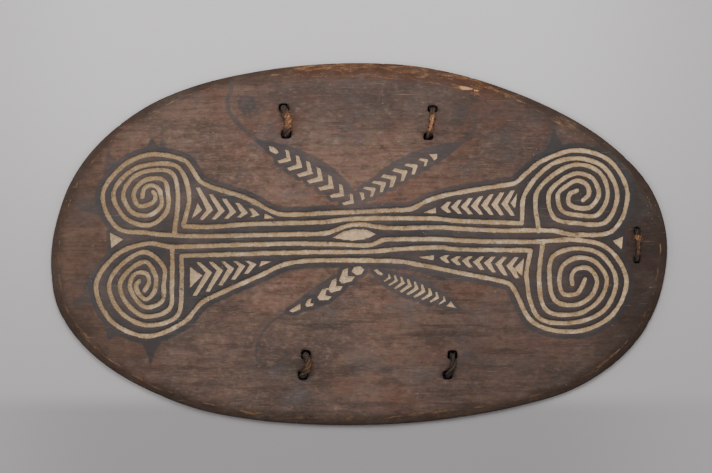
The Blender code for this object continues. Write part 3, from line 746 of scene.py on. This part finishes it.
# %% Back
BACK_STEP, TOOL_MARKS = 0.009, 0.0010
RIM_BOTTOM = inset(RIM_LINE, 0.0010 + nicks * 0.5)
points, kept = [], []
keep(RIM_BOTTOM, True)
for ring in HOLES:
    keep(ring, True)
keep(inset(RIM_LINE, REST_LAND)[::3], True)
fixed = np.concatenate(points)
loose = spread(BACK_STEP)
loose = loose[in_board(loose, inset(RIM_LINE, 0.012)[::3])]
fixed = np.concatenate([fixed, loose[distance_to(loose, fixed) > 0.004]])
BACK, BACK_TRIANGLES, back_where = triangulated(fixed, RIM_BOTTOM)
inner_band = step_up(distance_to(BACK, RIM_LINE), REST_LAND, REST_LAND + 0.02)
back_height = lift(BACK) + inner_band * TOOL_MARKS * np.abs(rough(BACK * (1.0, 0.45), 0.016, 15.0))
print(len(BACK), "points on the back")

# %% Edge and hole walls
EDGE_MIDDLE = 0.0036
edge_middle = np.column_stack([inset(RIM_LINE, 0.0002 + nicks * 0.4), np.full(rim_count, EDGE_MIDDLE)])
coordinates = np.concatenate([np.column_stack([FACE, height]),
                              np.column_stack([BACK, back_height]), edge_middle])
back_where = back_where + len(FACE)
middle_where = len(FACE) + len(BACK) + np.arange(rim_count)


def strip(upper, lower):
    """Triangles between two closed rings of as many points."""
    next_upper, next_lower = np.roll(upper, -1), np.roll(lower, -1)
    return np.concatenate([np.column_stack([upper, lower, next_lower]),
                           np.column_stack([upper, next_lower, next_upper])])


walls = [strip(face_where[:rim_count], middle_where), strip(middle_where, back_where[:rim_count])]
for index in range(len(HOLES)):
    ids = rim_count + index * HOLE_POINTS + np.arange(HOLE_POINTS)
    walls.append(strip(back_where[ids], face_where[ids]))
triangles = np.concatenate([FACE_TRIANGLES, BACK_TRIANGLES[:, ::-1] + len(FACE)] + walls)

# %% Board mesh


def keep_on(mesh, name, values):
    """Keeps one number on every vertex of a mesh, for its material to read."""
    mesh.attributes.new(name, "FLOAT", "POINT").data.foreach_set("value", values.astype(np.float32))


board_mesh = bpy.data.meshes.new("board_carved")
board_mesh.from_pydata(coordinates.tolist(), [], triangles.tolist())
for name, values in MASKS.items():
    filled = np.full(len(coordinates), {"rim": 0.0, "facet": -0.013}.get(name, -FAR))
    filled[:len(FACE)] = values
    keep_on(board_mesh, name, filled * 1000)
which = np.zeros(len(triangles), np.int32)
which[len(FACE_TRIANGLES):len(FACE_TRIANGLES) + len(BACK_TRIANGLES)] = 1
board_mesh.polygons.foreach_set("material_index", which)
board_mesh.polygons.foreach_set("use_smooth", np.ones(len(triangles), bool))
board_mesh.validate()
board = bpy.data.objects.new("board_carved", board_mesh)
bpy.context.collection.objects.link(board)
print(len(triangles), "triangles in the board")

# %% [markdown]
# ## Node helpers
#
# Shaders are built in code here, so a few small helpers keep the lines short. They all work on
# `tree`, the node tree that is being built. A colour is written as its screen code, such as
# 8A6B4F, and is turned into the linear colour that shaders use when it is plugged in.

# %% Helpers for shader nodes


def linear(code):
    """A screen colour as the linear colour that shaders use."""
    channels = [int(code[k:k + 2], 16) / 255 for k in (0, 2, 4)]
    return tuple(c / 12.92 if c <= 0.04045 else ((c + 0.055) / 1.055)**2.4 for c in channels) + (1.0,)


def plug(socket, value):
    """Joins a socket to another one, or sets it to a number or a colour."""
    if isinstance(value, bpy.types.NodeSocket):
        tree.links.new(value, socket)
    else:
        socket.default_value = linear(value) if isinstance(value, str) else value


def add(kind, settings=None, **inputs):
    """Adds a node. An input is given by its name, or by its number as in i0."""
    node = tree.nodes.new("ShaderNode" + kind)
    for name, value in (settings or {}).items():
        setattr(node, name, value)
    for name, value in inputs.items():
        key = name.replace("_", " ")
        plug(node.inputs[int(key[1:]) if key[1:].isdigit() else key], value)
    return node


def maths(operation, a, b=0.0):
    return add("Math", {"operation": operation}, i0=a, i1=b).outputs[0]


def times(a, b):
    return maths("MULTIPLY", a, b)


def plus(a, b):
    return maths("ADD", a, b)


def smoothstep(value, low, high, to_low=0.0, to_high=1.0):
    """A soft threshold between two values."""
    return add("MapRange", {"interpolation_type": "SMOOTHSTEP"}, Value=value, From_Min=low,
               From_Max=high, To_Min=to_low, To_Max=to_high).outputs[0]


# %% Helpers for colours and noise


def mixed(factor, a, b, kind="MIX"):
    """Two colours mixed."""
    return add("Mix", {"data_type": "RGBA", "blend_type": kind}, i0=factor, i6=a, i7=b).outputs[2]


def layer(under, over, value, low, high, to_low=0.0, to_high=1.0):
    """One colour laid over another where a value passes a soft threshold."""
    return mixed(smoothstep(value, low, high, to_low, to_high), under, over)


def spots(vector, scale, detail=3.0, rough_part=0.55, lean=0.0, output="Fac"):
    """Noise, its features stretched along the axes where the scale has three numbers."""
    scale = scale if isinstance(scale, tuple) else (scale, scale, scale)
    moved = add("Mapping", Vector=vector, Scale=scale, Rotation=(0, 0, lean)).outputs[0]
    return add("TexNoise", Vector=moved, Scale=1.0, Detail=detail, Roughness=rough_part).outputs[output]


def kept_value(name):
    """A number kept on the mesh's vertices."""
    return add("Attribute", {"attribute_name": name}).outputs["Fac"]


def bumped(strength, distance, height, **more):
    """A normal bent by a height."""
    return add("Bump", Strength=strength, Distance=distance, Height=height, **more).outputs[0]


# %% Helpers for groups and materials


def new_group(name, numbers, outputs):
    """A shader node group that takes a vector and some numbers, and puts out numbers."""
    group = bpy.data.node_groups.new(name, "ShaderNodeTree")
    group.interface.new_socket("Vector", in_out="INPUT", socket_type="NodeSocketVector")
    for title, default in numbers.items():
        socket = group.interface.new_socket(title, in_out="INPUT", socket_type="NodeSocketFloat")
        socket.default_value = default
    for title in outputs:
        group.interface.new_socket(title, in_out="OUTPUT", socket_type="NodeSocketFloat")
    return group, group.nodes.new("NodeGroupInput").outputs, group.nodes.new("NodeGroupOutput").inputs


def use_group(group, **inputs):
    """Places a group in the tree."""
    return add("Group", {"node_tree": group}, **inputs).outputs


def material(name):
    """A new material, its node tree and the inputs of its Principled BSDF."""
    made = bpy.data.materials.new(name)
    made.use_nodes = True
    return made, made.node_tree, made.node_tree.nodes["Principled BSDF"].inputs


# %% [markdown]
# ## Wood
#
# The board is one plank with its grain lengthways. Fine streaks, broader bands and cloudy stains
# are three noises stretched by different amounts along X. They give masks and a height and no
# colour, so the same group serves the dark face and the paler back.

# %% Wood grain group
grain, given, result = new_group("wood grain", {"Size": 1.0}, ("Streaks", "Bands", "Stains", "Height"))
tree = grain
scaled = add("VectorMath", {"operation": "SCALE"}, Vector=given["Vector"], Scale=given["Size"]).outputs[0]
bent = spots(scaled, 3.0, 2.0, 0.5, output="Color")
bent = add("VectorMath", {"operation": "MULTIPLY_ADD"}, i0=bent, i1=(0.0, 0.03, 0.0), i2=scaled).outputs[0]
streaks = spots(bent, (11, 230, 60), 6.0, 0.68)
bands = spots(bent, (2.2, 34, 12), 4.0)
plug(result["Streaks"], streaks)
plug(result["Bands"], bands)
plug(result["Stains"], spots(scaled, (5, 9, 9), 5.0, 0.6))
plug(result["Height"], plus(times(streaks, 0.65), times(bands, 0.35)))
print("wood grain,", len(tree.nodes), "nodes")

# %% [markdown]
# Wear gathers where hands and racks touched: along the edge of the rim and the ridge of its facet.
# The mask takes the distance that it is given and breaks it up with two sizes of noise, so the
# worn wood shows in strokes and not as a painted band.

# %% Edge wear group
wear, given, result = new_group("edge wear", {"Distance": 0.0, "Reach": 4.0, "Amount": 0.0}, ("Mask",))
tree = wear
broken = plus(spots(given["Vector"], (50, 260, 40), 6.0, 0.75),
              times(spots(given["Vector"], (13, 9, 9)), 0.8))
close = maths("SUBTRACT", 1.0, maths("DIVIDE", maths("ABSOLUTE", given["Distance"]), given["Reach"]))
close = plus(times(close, 0.35), given["Amount"])
plug(result["Mask"], smoothstep(plus(broken, close), 1.16, 1.30))
print("edge wear,", len(tree.nodes), "nodes")

# %% [markdown]
# Dust settles on what faces up, in clouds. It could be one pale layer over everything, but a mask
# that reads the surface's direction leaves the sides of the cuts clean, and both sides share it.

# %% Dust group
dust, given, result = new_group("dust", {"Amount": 0.5}, ("Mask",))
tree = dust
upward = add("SeparateXYZ", Vector=add("NewGeometry").outputs["Normal"]).outputs["Z"]
cloud = smoothstep(spots(given["Vector"], (14, 14, 14), 6.0, 0.7), 0.45, 0.75)
plug(result["Mask"], times(times(cloud, smoothstep(upward, 0.2, 0.9)), given["Amount"]))
print("dust,", len(tree.nodes), "nodes")

# %% [markdown]
# ## The face
#
# The face is painted in the order in which it was made: stained wood, charcoal on the ridges and
# round the spirals, lime rubbed into the cuts, and then a long life of wear. Each layer takes the
# distance kept on the vertices, adds a little noise to it and turns it into a mask.

# %% Stained wood
face, tree, shader = material("carved face")
where = add("TexCoord").outputs["Object"]
wood = use_group(grain, Vector=where)
along = add("SeparateXYZ", Vector=where).outputs
colour = layer("4E403A", "785C4F", wood["Stains"], 0.36, 0.64)
colour = layer(colour, "665349", wood["Bands"], 0.42, 0.66, 0.0, 0.45)
colour = layer(colour, "40322B", wood["Streaks"], 0.44, 0.66, 0.0, 0.46)
mottle = spots(where, (70, 95, 80), 7.0, 0.72)
colour = layer(colour, "392D28", mottle, 0.34, 0.50, 0.50, 0.0)
colour = layer(colour, "8C7468", mottle, 0.52, 0.70, 0.0, 0.50)
reddish = spots(where, (7, 15, 9), 6.0, 0.65)
colour = layer(colour, "6F4638", reddish, 0.50, 0.68, 0.0, 0.40)
bluish = spots(where, (11, 15, 5), 6.0, 0.65, lean=0.4)
colour = layer(colour, "545050", bluish, 0.52, 0.68, 0.0, 0.55)
sooty = spots(where, (9, 17, 8), 6.0, 0.7)
colour = layer(colour, "3B322D", sooty, 0.54, 0.68, 0.0, 0.60)
dark_run = smoothstep(spots(where, (6, 52, 10), 6.0, 0.65), 0.50, 0.64)
dark_run = times(dark_run, smoothstep(along["Y"], -0.14, 0.10, 0.60, 0.22))
colour = mixed(dark_run, colour, "372D28")
fine = spots(where, (110, 420, 200), 4.0)
colour = layer(colour, "8C7263", fine, 0.50, 0.74, 0.0, 0.36)
flecks = spots(where, (150, 260, 150), 5.0, 0.75, output="Color")
colour = mixed(0.40, colour, flecks, "SOFT_LIGHT")

# %% [markdown]
# The board's colour isn't alike all over. It is palest left of the middle, grey below, and
# darker towards its two ends and its upper rim. Each of these is a soft step across the board,
# with the stains added to it so that no straight border shows.

# %% Paler and darker parts


def stepped(axis, spread, low, high, at_low, at_high):
    """A soft step across the board, its border broken up by the stains."""
    return smoothstep(plus(along[axis], times(wood["Stains"], spread)), low, high, at_low, at_high)


colour = mixed(stepped("X", 0.25, 0.08, 0.32, 0.80, 0.0), colour, (1.40, 1.38, 1.35, 1.0), "MULTIPLY")
colour = mixed(stepped("Y", 0.10, -0.13, 0.02, 0.20, 0.0), colour, "5E544F")
colour = mixed(stepped("X", 0.22, 0.20, 0.40, 0.0, 0.14), colour, "3A322E")
colour = mixed(stepped("X", 0.16, 0.42, 0.52, 0.0, 0.66), colour, "312925")
colour = mixed(stepped("X", 0.16, -0.38, -0.20, 0.58, 0.0), colour, "43342C")
colour = mixed(stepped("Y", 0.10, 0.19, 0.30, 0.0, 0.42), colour, "453B38")
near_rim = kept_value("rim")
round_rim = add("CombineXYZ", X=times(kept_value("around"), 0.001), Y=times(near_rim, 0.001)).outputs[0]
rim_stain = plus(near_rim, times(spots(where, (22, 30, 30), 7.0, 0.7), 44.0))
colour = layer(colour, "3E3129", rim_stain, 27.0, 47.0, 0.78, 0.0)

# %% [markdown]
# Charcoal was rubbed on over the stain, on the ridges and a little way round the carving. It is
# thin where the grain shows through, and the stalks and discs outside the carving have faded most.

# %% Charcoal


def frayed(value, amount, *noise_settings):
    """A kept distance with noise about zero added, so that its edge is uneven."""
    return plus(value, times(maths("SUBTRACT", spots(where, *noise_settings), 0.5), amount))


dark_mask = smoothstep(frayed(kept_value("dark"), 5.5, 110.0, 6.0, 0.7), -1.3, 1.6)
thin = smoothstep(plus(wood["Streaks"], times(wood["Stains"], 0.5)), 0.50, 0.95, 1.0, 0.62)
charcoal = layer("403E3F", "4F4C4D", wood["Stains"], 0.4, 0.7)
charcoal = layer(charcoal, "302C2C", along["X"], 0.05, 0.36, 0.0, 0.40)
colour = mixed(times(dark_mask, thin), colour, charcoal)
faded = smoothstep(spots(where, (40, 60, 50), 4.0), 0.35, 0.60, 0.55, 0.95)
faded = times(faded, smoothstep(along["X"], -0.10, 0.10, 1.0, 0.62))
faded = times(faded, smoothstep(along["Y"], -0.16, -0.10, 0.50, 1.0))
colour = mixed(times(smoothstep(kept_value("hook"), -0.8, 0.8), faded), colour, "4B4746")
disc = smoothstep(plus(kept_value("disc"), times(wood["Stains"], 2.0)), -2.0, 3.5, 0.0, 0.60)
colour = mixed(times(disc, faded), colour, "404244")

# %% [markdown]
# The rim has the most wear. Its ridge is rubbed pale in places, fine cracks run along it, the top
# is worn to bare wood in reddish and tan streaks and painted paler as a highlight where it faces
# the light, and a knock at the upper right shows the wood.

# %% Worn rim, with painted highlight along its top


def close_to(axis, middle, low, high, amount):
    """Strongest near a place along the board, and nothing past it."""
    away = maths("ABSOLUTE", maths("SUBTRACT", along[axis], middle))
    return smoothstep(away, low, high, amount, 0.0)


cracks = spots(round_rim, (60, 620, 1), 5.0, 0.7)
cracked = times(smoothstep(cracks, 0.54, 0.64), smoothstep(near_rim, 10.0, 18.0, 0.65, 0.0))
# The top band is worn to bare wood and also painted paler as a highlight where the upper rim faces the
# light.
top_band = times(smoothstep(along["Y"], 0.19, 0.24), close_to("X", 0.06, 0.12, 0.24, 1.0))
knock = times(smoothstep(along["Y"], 0.16, 0.19), close_to("X", 0.336, 0.010, 0.028, 0.30))
lower_edge = smoothstep(along["Y"], -0.20, -0.12, 0.06, 0.0)
more_wear_and_highlight = plus(plus(times(top_band, 0.26), maths("SUBTRACT", lower_edge, 0.08)), knock)
from_ridge = plus(kept_value("facet"), times(top_band, 7.5))
wear_and_highlight = use_group(wear, Vector=round_rim, Distance=from_ridge, Reach=8.0, Amount=more_wear_and_highlight)["Mask"]
wear_and_highlight = times(wear_and_highlight, smoothstep(near_rim, 18.0, 26.0, 1.0, 0.0))
wear_and_highlight = times(wear_and_highlight, smoothstep(near_rim, 0.4, 1.6))
patches = spots(round_rim, (26, 130, 1), 7.0, 0.75)
wear_and_highlight = times(wear_and_highlight, smoothstep(patches, 0.44, 0.60, 0.10, 1.0))
bare = layer("AC8059", "5E402C", cracks, 0.40, 0.60)
reddish_rim = times(smoothstep(rim_stain, 38.0, 54.0, 0.50, 0.0), top_band)
colour = mixed(reddish_rim, colour, "5A3626")
colour = mixed(times(wear_and_highlight, 0.64), colour, bare)
inner = times(smoothstep(spots(round_rim, (34, 190, 7), 7.0, 0.75), 0.54, 0.62, 0.0, 0.60), top_band)
inner = times(inner, smoothstep(near_rim, 22.0, 28.0, 1.0, 0.0))
colour = mixed(inner, colour, "9C6E46")
colour = mixed(cracked, colour, "2C221D")
ridge = smoothstep(maths("ABSOLUTE", plus(kept_value("facet"), 0.5)), 0.3, 1.5, 0.5, 0.0)
ridge = times(ridge, smoothstep(spots(round_rim, (24, 24, 1), 7.0, 0.75), 0.52, 0.66))
colour = mixed(ridge, colour, "A9896B")

# %% Grime and painted shade by the cords, and raw flake
# Painted shade: the wood beside each cord is darkened, partly grime and partly the shade the cord casts.
grime_and_shade = plus(kept_value("tie"), times(mottle, 6.0))
colour = layer(colour, "241C18", grime_and_shade, 1.5, 6.5, 0.70, 0.0)
flaked = kept_value("flake")
raw = layer("94683F", "C69C70", flaked, 0.10, 0.50)
colour = layer(colour, raw, flaked, 0.0, 0.25)

# %% [markdown]
# Lime was rubbed into the cuts as a paste. It is chalky white where it is thick, brown where hands
# wore it, darker along its edges with dirt and painted shade from the groove walls, and gone in
# small spots.

# %% Lime
lime_in = frayed(kept_value("carved"), 2.6, 260.0, 5.0, 0.7)
lime = layer("9C7D5A", "D6B891", spots(where, 48.0, 8.0, 0.78), 0.28, 0.70)
lime = layer(lime, "F2DEC4", spots(where, (38, 52, 40), 7.0, 0.7), 0.52, 0.68, 0.0, 0.75)
# Painted shade: the lime is darkened along the edges of the cuts, partly dirt and partly the shade of the
# groove walls.
lime = layer(lime, "8A6A4A", lime_in, 0.3, 1.5, 0.70, 0.0)
handled = plus(spots(where, (9, 11, 9), 4.0), times(maths("SUBTRACT", along["Y"], along["X"]), 0.45))
lime = layer(lime, "917758", handled, 0.42, 0.75, 0.0, 0.75)
lime = layer(lime, "E6C7A3", kept_value("small"), -0.3, 0.5, 0.0, 0.42)
crumbs = spots(where, 420.0, 3.0, 0.8)
lime = layer(lime, "F0D6B4", crumbs, 0.52, 0.68, 0.0, 0.45)
lime = layer(lime, "6C543E", crumbs, 0.32, 0.47, 0.60, 0.0)
rubbed = smoothstep(spots(where, (70, 90, 80), 6.0, 0.75), 0.56, 0.68, 1.0, 0.30)
lime_mask = times(smoothstep(lime_in, 0.05, 0.80), rubbed)
colour = mixed(lime_mask, colour, lime)

# %% [markdown]
# Last come pale specks, a few long scratches and a little dust. The old surface is matt, and the
# lime is the mattest and the grittiest part of it.

# %% Specks, scratches, dust and shine
specks = add("TexVoronoi", Vector=where, Scale=150.0, Randomness=1.0).outputs["Distance"]
speck_mask = times(smoothstep(specks, 0.05, 0.13, 1.0, 0.0),
                   smoothstep(spots(where, 22.0, 5.0, 0.75), 0.54, 0.63))
colour = mixed(times(speck_mask, 0.7), colour, "C3B7A6")
scratch = spots(where, (10, 700, 100), 2.0, lean=0.12)
colour = layer(colour, "98826E", scratch, 0.69, 0.74, 0.0, 0.5)
colour = mixed(use_group(dust, Vector=where, Amount=0.07)["Mask"], colour, "A79C90")
plug(shader["Base Color"], colour)
plug(shader["Roughness"], plus(times(wood["Stains"], 0.22), plus(0.55, times(lime_mask, 0.25))))
plug(shader["Specular IOR Level"], 0.12)
grain_bump = bumped(0.35, 0.0012, wood["Height"])
rough_lime = plus(0.10, times(lime_mask, 0.35))
plug(shader["Normal"], bumped(rough_lime, 0.0008, spots(where, 400.0, 4.0), Normal=grain_bump))
print("carved face,", len(tree.nodes), "nodes")

# %% Back material
back, tree, shader = material("hollow back")
where = add("TexCoord").outputs["Object"]
wood = use_group(grain, Vector=where, Size=0.9)
colour = layer("4A372B", "6B513E", wood["Stains"], 0.35, 0.7)
colour = layer(colour, "3A2B23", wood["Streaks"], 0.4, 0.65, 0.0, 0.5)
dusty = use_group(dust, Vector=where, Amount=0.2)["Mask"]
plug(shader["Base Color"], mixed(dusty, colour, "8A7F74"))
plug(shader["Roughness"], 0.8)
plug(shader["Normal"], bumped(0.4, 0.0015, wood["Height"]))
print("hollow back,", len(tree.nodes), "nodes")

# %% Finish the board
for finish in (face, back):
    board_mesh.materials.append(finish)
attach(board, "root")
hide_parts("board")

# %% [markdown]
# ## Ties
#
# Each tie is a ring of plant fibre through two holes. A rope could be a twisted screw of circles,
# but here it runs down a hole and round the back, so each strand is a curve whose points wind
# round the middle of the cord, and the curve's bevel gives it thickness.

# %% Route of a tie


def tie_route(tie):
    """The middle of a tie's cord: over the face, down a hole, under the back and up the other."""
    start, end = place(tie["holes"])
    length = np.linalg.norm(end - start)
    ahead = (end - start) / length
    right = np.array((-ahead[1], ahead[0]))
    cord = tie["cord"] / 2
    hole = cord + HOLE_CLEARANCE

    def arc(rise, middle):
        steps = [(hole * (1 - math.cos(a)), math.sin(a)) for a in (0.0, 0.55, 1.05, math.pi / 2)]
        steps += [(length * share, middle) for share in (0.4, 0.5, 0.6)]
        return [(d, h * rise) for d, h in steps + [(length - d, h) for d, h in reversed(steps[:4])]]

    route = []
    for distance, height in arc(cord + TIE_GAP, 1.12):
        spot = start + ahead * distance + right * tie["bow"] * math.sin(math.pi * distance / length)
        route.append((*spot, lift(spot[None])[0] + THICKNESS + height))
    for distance, height in reversed(arc(cord + BACK_GAP, 1.0)):
        spot = start + ahead * distance
        route.append((*spot, lift(spot[None])[0] - height))
    return np.array(route)


def even(route, step):
    """A closed line sampled evenly."""
    dense = smooth(route, True, 0.0004)
    wrapped = np.concatenate([dense, dense[:1]])
    travelled = travelled_along(wrapped)
    count = round(travelled[-1] / step)
    at = np.arange(count) * travelled[-1] / count
    return np.column_stack([np.interp(at, travelled, wrapped[:, k]) for k in range(route.shape[1])])


def across(line):
    """Two directions square to a closed line at each of its points."""
    ahead = np.roll(line, -1, axis=0) - np.roll(line, 1, axis=0)
    ahead /= np.linalg.norm(ahead, axis=1)[:, None]
    side = np.array((1.0, 0.2, 0.0))
    first = side - ahead * (ahead @ side)[:, None]
    first /= np.linalg.norm(first, axis=1)[:, None]
    return first, np.cross(ahead, first)


# %% Strands as meshes


def tube(name, lines, radii, closed, sides):
    """A curve object with several round strands."""
    curve = bpy.data.curves.new(name, "CURVE")
    curve.dimensions = "3D"
    curve.bevel_depth = 1.0
    curve.bevel_resolution = sides
    curve.use_fill_caps = True
    for line, radius in zip(lines, radii):
        spline = curve.splines.new("POLY")
        spline.points.add(len(line) - 1)
        spline.points.foreach_set("co", np.column_stack([line, np.ones(len(line))]).ravel())
        spline.points.foreach_set("radius", radius.astype(np.float32))
        spline.use_cyclic_u = closed
    piece = bpy.data.objects.new(name, curve)
    bpy.context.collection.objects.link(piece)
    return piece


def made_mesh(pieces, name):
    """The pieces turned into meshes and joined into one."""
    bpy.ops.object.select_all(action="DESELECT")
    for piece in pieces:
        piece.select_set(True)
    bpy.context.view_layer.objects.active = pieces[0]
    bpy.ops.object.convert(target="MESH")
    bpy.ops.object.join()
    joined = bpy.context.view_layer.objects.active
    joined.name = name
    bpy.ops.object.shade_smooth()
    bpy.ops.object.select_all(action="DESELECT")
    return joined


# %% [markdown]
# The fibre is dark with age and grime. Over the face the cords are rubbed to a pale, golden
# middle, made paler still as a painted highlight on the raised top, which is kept on the vertices
# as a number, and so is the soot, with painted shade added down in the holes.

# %% Fibre material
fibre, tree, shader = material("plant fibre")
where = add("TexCoord").outputs["Object"]
speckle = spots(where, 700.0, 5.0, 0.7)
colour = layer("2B2019", "6E5340", speckle, 0.45, 0.65)
light = layer("5A3822", "A8683A", speckle, 0.38, 0.50)
light = layer(light, "F0BE90", speckle, 0.50, 0.62)
colour = mixed(kept_value("wear_and_highlight"), colour, light)
plug(shader["Base Color"], mixed(kept_value("soot_and_shade"), colour, "211B18"))
plug(shader["Roughness"], 0.85)
plug(shader["Normal"], bumped(0.6, 0.0006, speckle))
print("plant fibre,", len(tree.nodes), "nodes")

# %% Strands and hairs
HAIR_STEPS = np.linspace(0, 1, 5)[:, None]
HAIR_RADII = np.linspace(0.00055, 0.00020, 5)
HAIR_DROOP = np.array((0, 0, 0.001))


def wound_strands(name, middle, cord, strands, turns):
    """Strands wound round the middle of a cord, thick enough to fill it."""
    first, second = across(middle)
    share = np.arange(len(middle)) / len(middle)
    size = cord / (1 + 1 / math.sin(math.pi / strands)) * 1.06
    lines, radii = [], []
    for strand in range(strands):
        turn = (math.tau * (strand / strands + share * turns))[:, None]
        lines.append(middle + (cord - size) * (first * np.cos(turn) + second * np.sin(turn)))
        wobble = np.array([noise.noise((s * 30, strand, len(name))) for s in share])
        radii.append(size * (1 + 0.12 * wobble))
    return tube(name + "_strands", lines, radii, True, 2)


def loose_hairs(name, middle, cord, count, fray):
    """Fibres that stand out from the part of a cord that lies over the face."""
    chance = random.Random(name)
    first = across(middle)[0]
    top = np.flatnonzero(middle[:, 2] > np.percentile(middle[:, 2], 62)).tolist()
    lines = []
    for _ in range(count):
        at = chance.choice(top)
        turn = chance.uniform(0.15, math.pi - 0.15)
        out = first[at] * math.cos(turn) + np.array((0, 0, 0.3)) * math.sin(turn)
        ahead = middle[(at + 1) % len(middle)] - middle[at - 1]
        ahead = ahead / np.linalg.norm(ahead) * chance.choice((-1, 1))
        stands_out, run = chance.uniform(0.001, fray), chance.uniform(0.003, 0.009)
        hair = middle[at] + out * cord * 0.9 + ahead * run * HAIR_STEPS
        hair += (out * stands_out - HAIR_DROOP) * HAIR_STEPS**2
        hair[:, 2] = np.minimum(hair[:, 2], middle[at, 2] + cord * 0.75)
        lines.append(hair)
    return tube(name + "_frays", lines, [HAIR_RADII] * count, False, 0)


# %% [markdown]
# The five ties differ. The upper two are worn pale, with painted highlight on their raised tops,
# the lower two are dark, the left ones are frayed, and the thin one at the end has a light wrapping
# round its upper part. So each has its own numbers: strands, turns, hairs, how worn and lit on top,
# how sooty, and how far its hairs stand out.

# %% Make the ties
LOOKS = {"tie_upper_left": (3, 5, 150, 0.80, 0.25, 0.0062),
         "tie_upper_right": (2, 1, 60, 0.95, 0.10, 0.0036),
         "tie_lower_left": (3, 4, 150, 0.25, 0.25, 0.0060),
         "tie_lower_right": (2, 3, 60, 0.12, 0.55, 0.0040),
         "tie_end": (2, 7, 110, 0.35, 0.35, 0.0045)}
WRAP_MIDDLE, WRAP_REACH, WRAP_SWELL = (0.4525, 0.0100), 0.0040, 0.45


def make_tie(name, tie):
    """One tie as a mesh, with its wear and painted highlight and its soot and painted shade kept on the
    vertices.
    """
    strands, turns, hairs, wear_and_highlight, soot_and_shade, fray = LOOKS[name]
    cord = tie["cord"] / 2
    middle = even(tie_route(tie), cord / 2)
    made = made_mesh([wound_strands(name, middle, cord, strands, turns),
                      loose_hairs(name, middle, cord, hairs, fray)], name + "_cord")
    at = np.zeros(len(made.data.vertices) * 3, np.float32)
    made.data.vertices.foreach_get("co", at)
    at = at.reshape(-1, 3)
    away = np.min([np.linalg.norm(at[:, :2] - hole, axis=1) for hole in place(tie["holes"])], axis=0)
    raised = at[:, 2] - (lift(at[:, :2]) + THICKNESS)
    # Painted highlight: the cord is paler where it rises above the face, partly worn fibre and partly its
    # raised top lit.
    wear_and_highlight_here = wear_and_highlight * step_up(raised, 0.001, tie["cord"] * 0.8) * step_up(away, 0.006, 0.014)
    wear_and_highlight_here *= 0.6 + 0.4 * np.clip(rough(at[:, :2], 0.002, 1.0) * 2 + 0.8, 0, 1)
    if name == "tie_end":
        wrapping = np.exp(-((at[:, 1] - WRAP_MIDDLE[1]) / WRAP_REACH)**4) * (at[:, 2] > THICKNESS)
        wear_and_highlight_here = np.maximum(wear_and_highlight_here, wrapping * 0.9)
        at[:, 0] += (at[:, 0] - WRAP_MIDDLE[0]) * (wrapping * WRAP_SWELL)
        made.data.vertices.foreach_set("co", at.ravel())
    keep_on(made.data, "wear_and_highlight", wear_and_highlight_here)
    # Painted shade: on top of its soot, the cord is darkened where it runs below the face, down in the
    # holes.
    keep_on(made.data, "soot_and_shade", np.clip(soot_and_shade + (1 - step_up(raised, -0.001, 0.002)) * 0.6, 0, 1))
    made.data.materials.clear()
    made.data.materials.append(fibre)
    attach(made, "root")
    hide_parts(name)
    print(name, len(made.data.vertices), "vertices")


for name, tie in TIES.items():
    make_tie(name, tie)

# %% [markdown]
# ## Floor, light and camera
#
# The board lies face up on a pale floor and the camera looks straight down at it from far away
# with a long lens, so that the dome doesn't swell towards the lens. The largest light stands
# beyond the upper rim, and weaker ones to the left, to the right and below fill the rest.

# %% Floor
bpy.ops.mesh.primitive_plane_add(size=30.0)
floor = bpy.context.active_object
floor.name = "floor"
paper, tree, shader = material("pale floor")
along = add("SeparateXYZ", Vector=add("TexCoord").outputs["Object"]).outputs
# Painted light: the floor is lighter towards the top and darker towards the bottom, as the light falls
# off.
floor_with_painted_light = layer("BCB8B7", "E1DEDD", along["Y"], -0.30, 0.34)
# Painted shade: a darker band low on the floor, where a fold in a studio backdrop would be shaded.
floor_with_painted_light = layer(floor_with_painted_light, "888285", along["Y"], -0.275, -0.235, 0.55, 0.0)
# Painted shade: the floor is darker towards both sides.
floor_with_painted_light = layer(floor_with_painted_light, "BAB6B6", maths("ABSOLUTE", plus(along["X"], 0.06)), 0.30, 0.70, 0.0, 0.70)
plug(shader["Base Color"], floor_with_painted_light)
plug(shader["Roughness"], 0.9)
floor.data.materials.append(paper)

# %% Lights


def soft_light(name, location, size, power):
    """A square area light that faces the middle of the board."""
    bpy.ops.object.light_add(type="AREA", location=location)
    lamp = bpy.context.active_object
    lamp.name = name
    lamp.data.size = size
    lamp.data.energy = power
    lamp.rotation_euler = (-Vector(location)).to_track_quat("-Z", "Y").to_euler()


soft_light("upper", (0.15, 1.80, 1.90), 1.5, 44)
soft_light("left", (-2.3, 0.4, 1.25), 1.4, 27)
soft_light("right", (2.3, 0.5, 1.15), 1.2, 15)
soft_light("lower fill", (-0.2, -2.2, 1.9), 2.0, 16)
world = bpy.data.worlds.new("studio")
bpy.context.scene.world = world
world.use_nodes = True
world.node_tree.nodes["Background"].inputs["Color"].default_value = (1.0, 1.0, 1.02, 1.0)
world.node_tree.nodes["Background"].inputs["Strength"].default_value = 0.25
print(len(bpy.data.lights), "lights")

# %% Camera
VIEW_MIDDLE, VIEW_WIDTH = (-0.0050, 0.0123), 1.1559
FOCAL_LENGTH, SENSOR = 260.0, 36.0
distance = VIEW_WIDTH * FOCAL_LENGTH / SENSOR
bpy.ops.object.camera_add(location=(*VIEW_MIDDLE, distance), rotation=(0, 0, 0))
camera = bpy.context.active_object
camera.data.lens = FOCAL_LENGTH
camera.data.sensor_width = SENSOR
camera.data.clip_end = 50
bpy.context.scene.camera = camera
print("camera", round(distance, 2), "m above the floor")
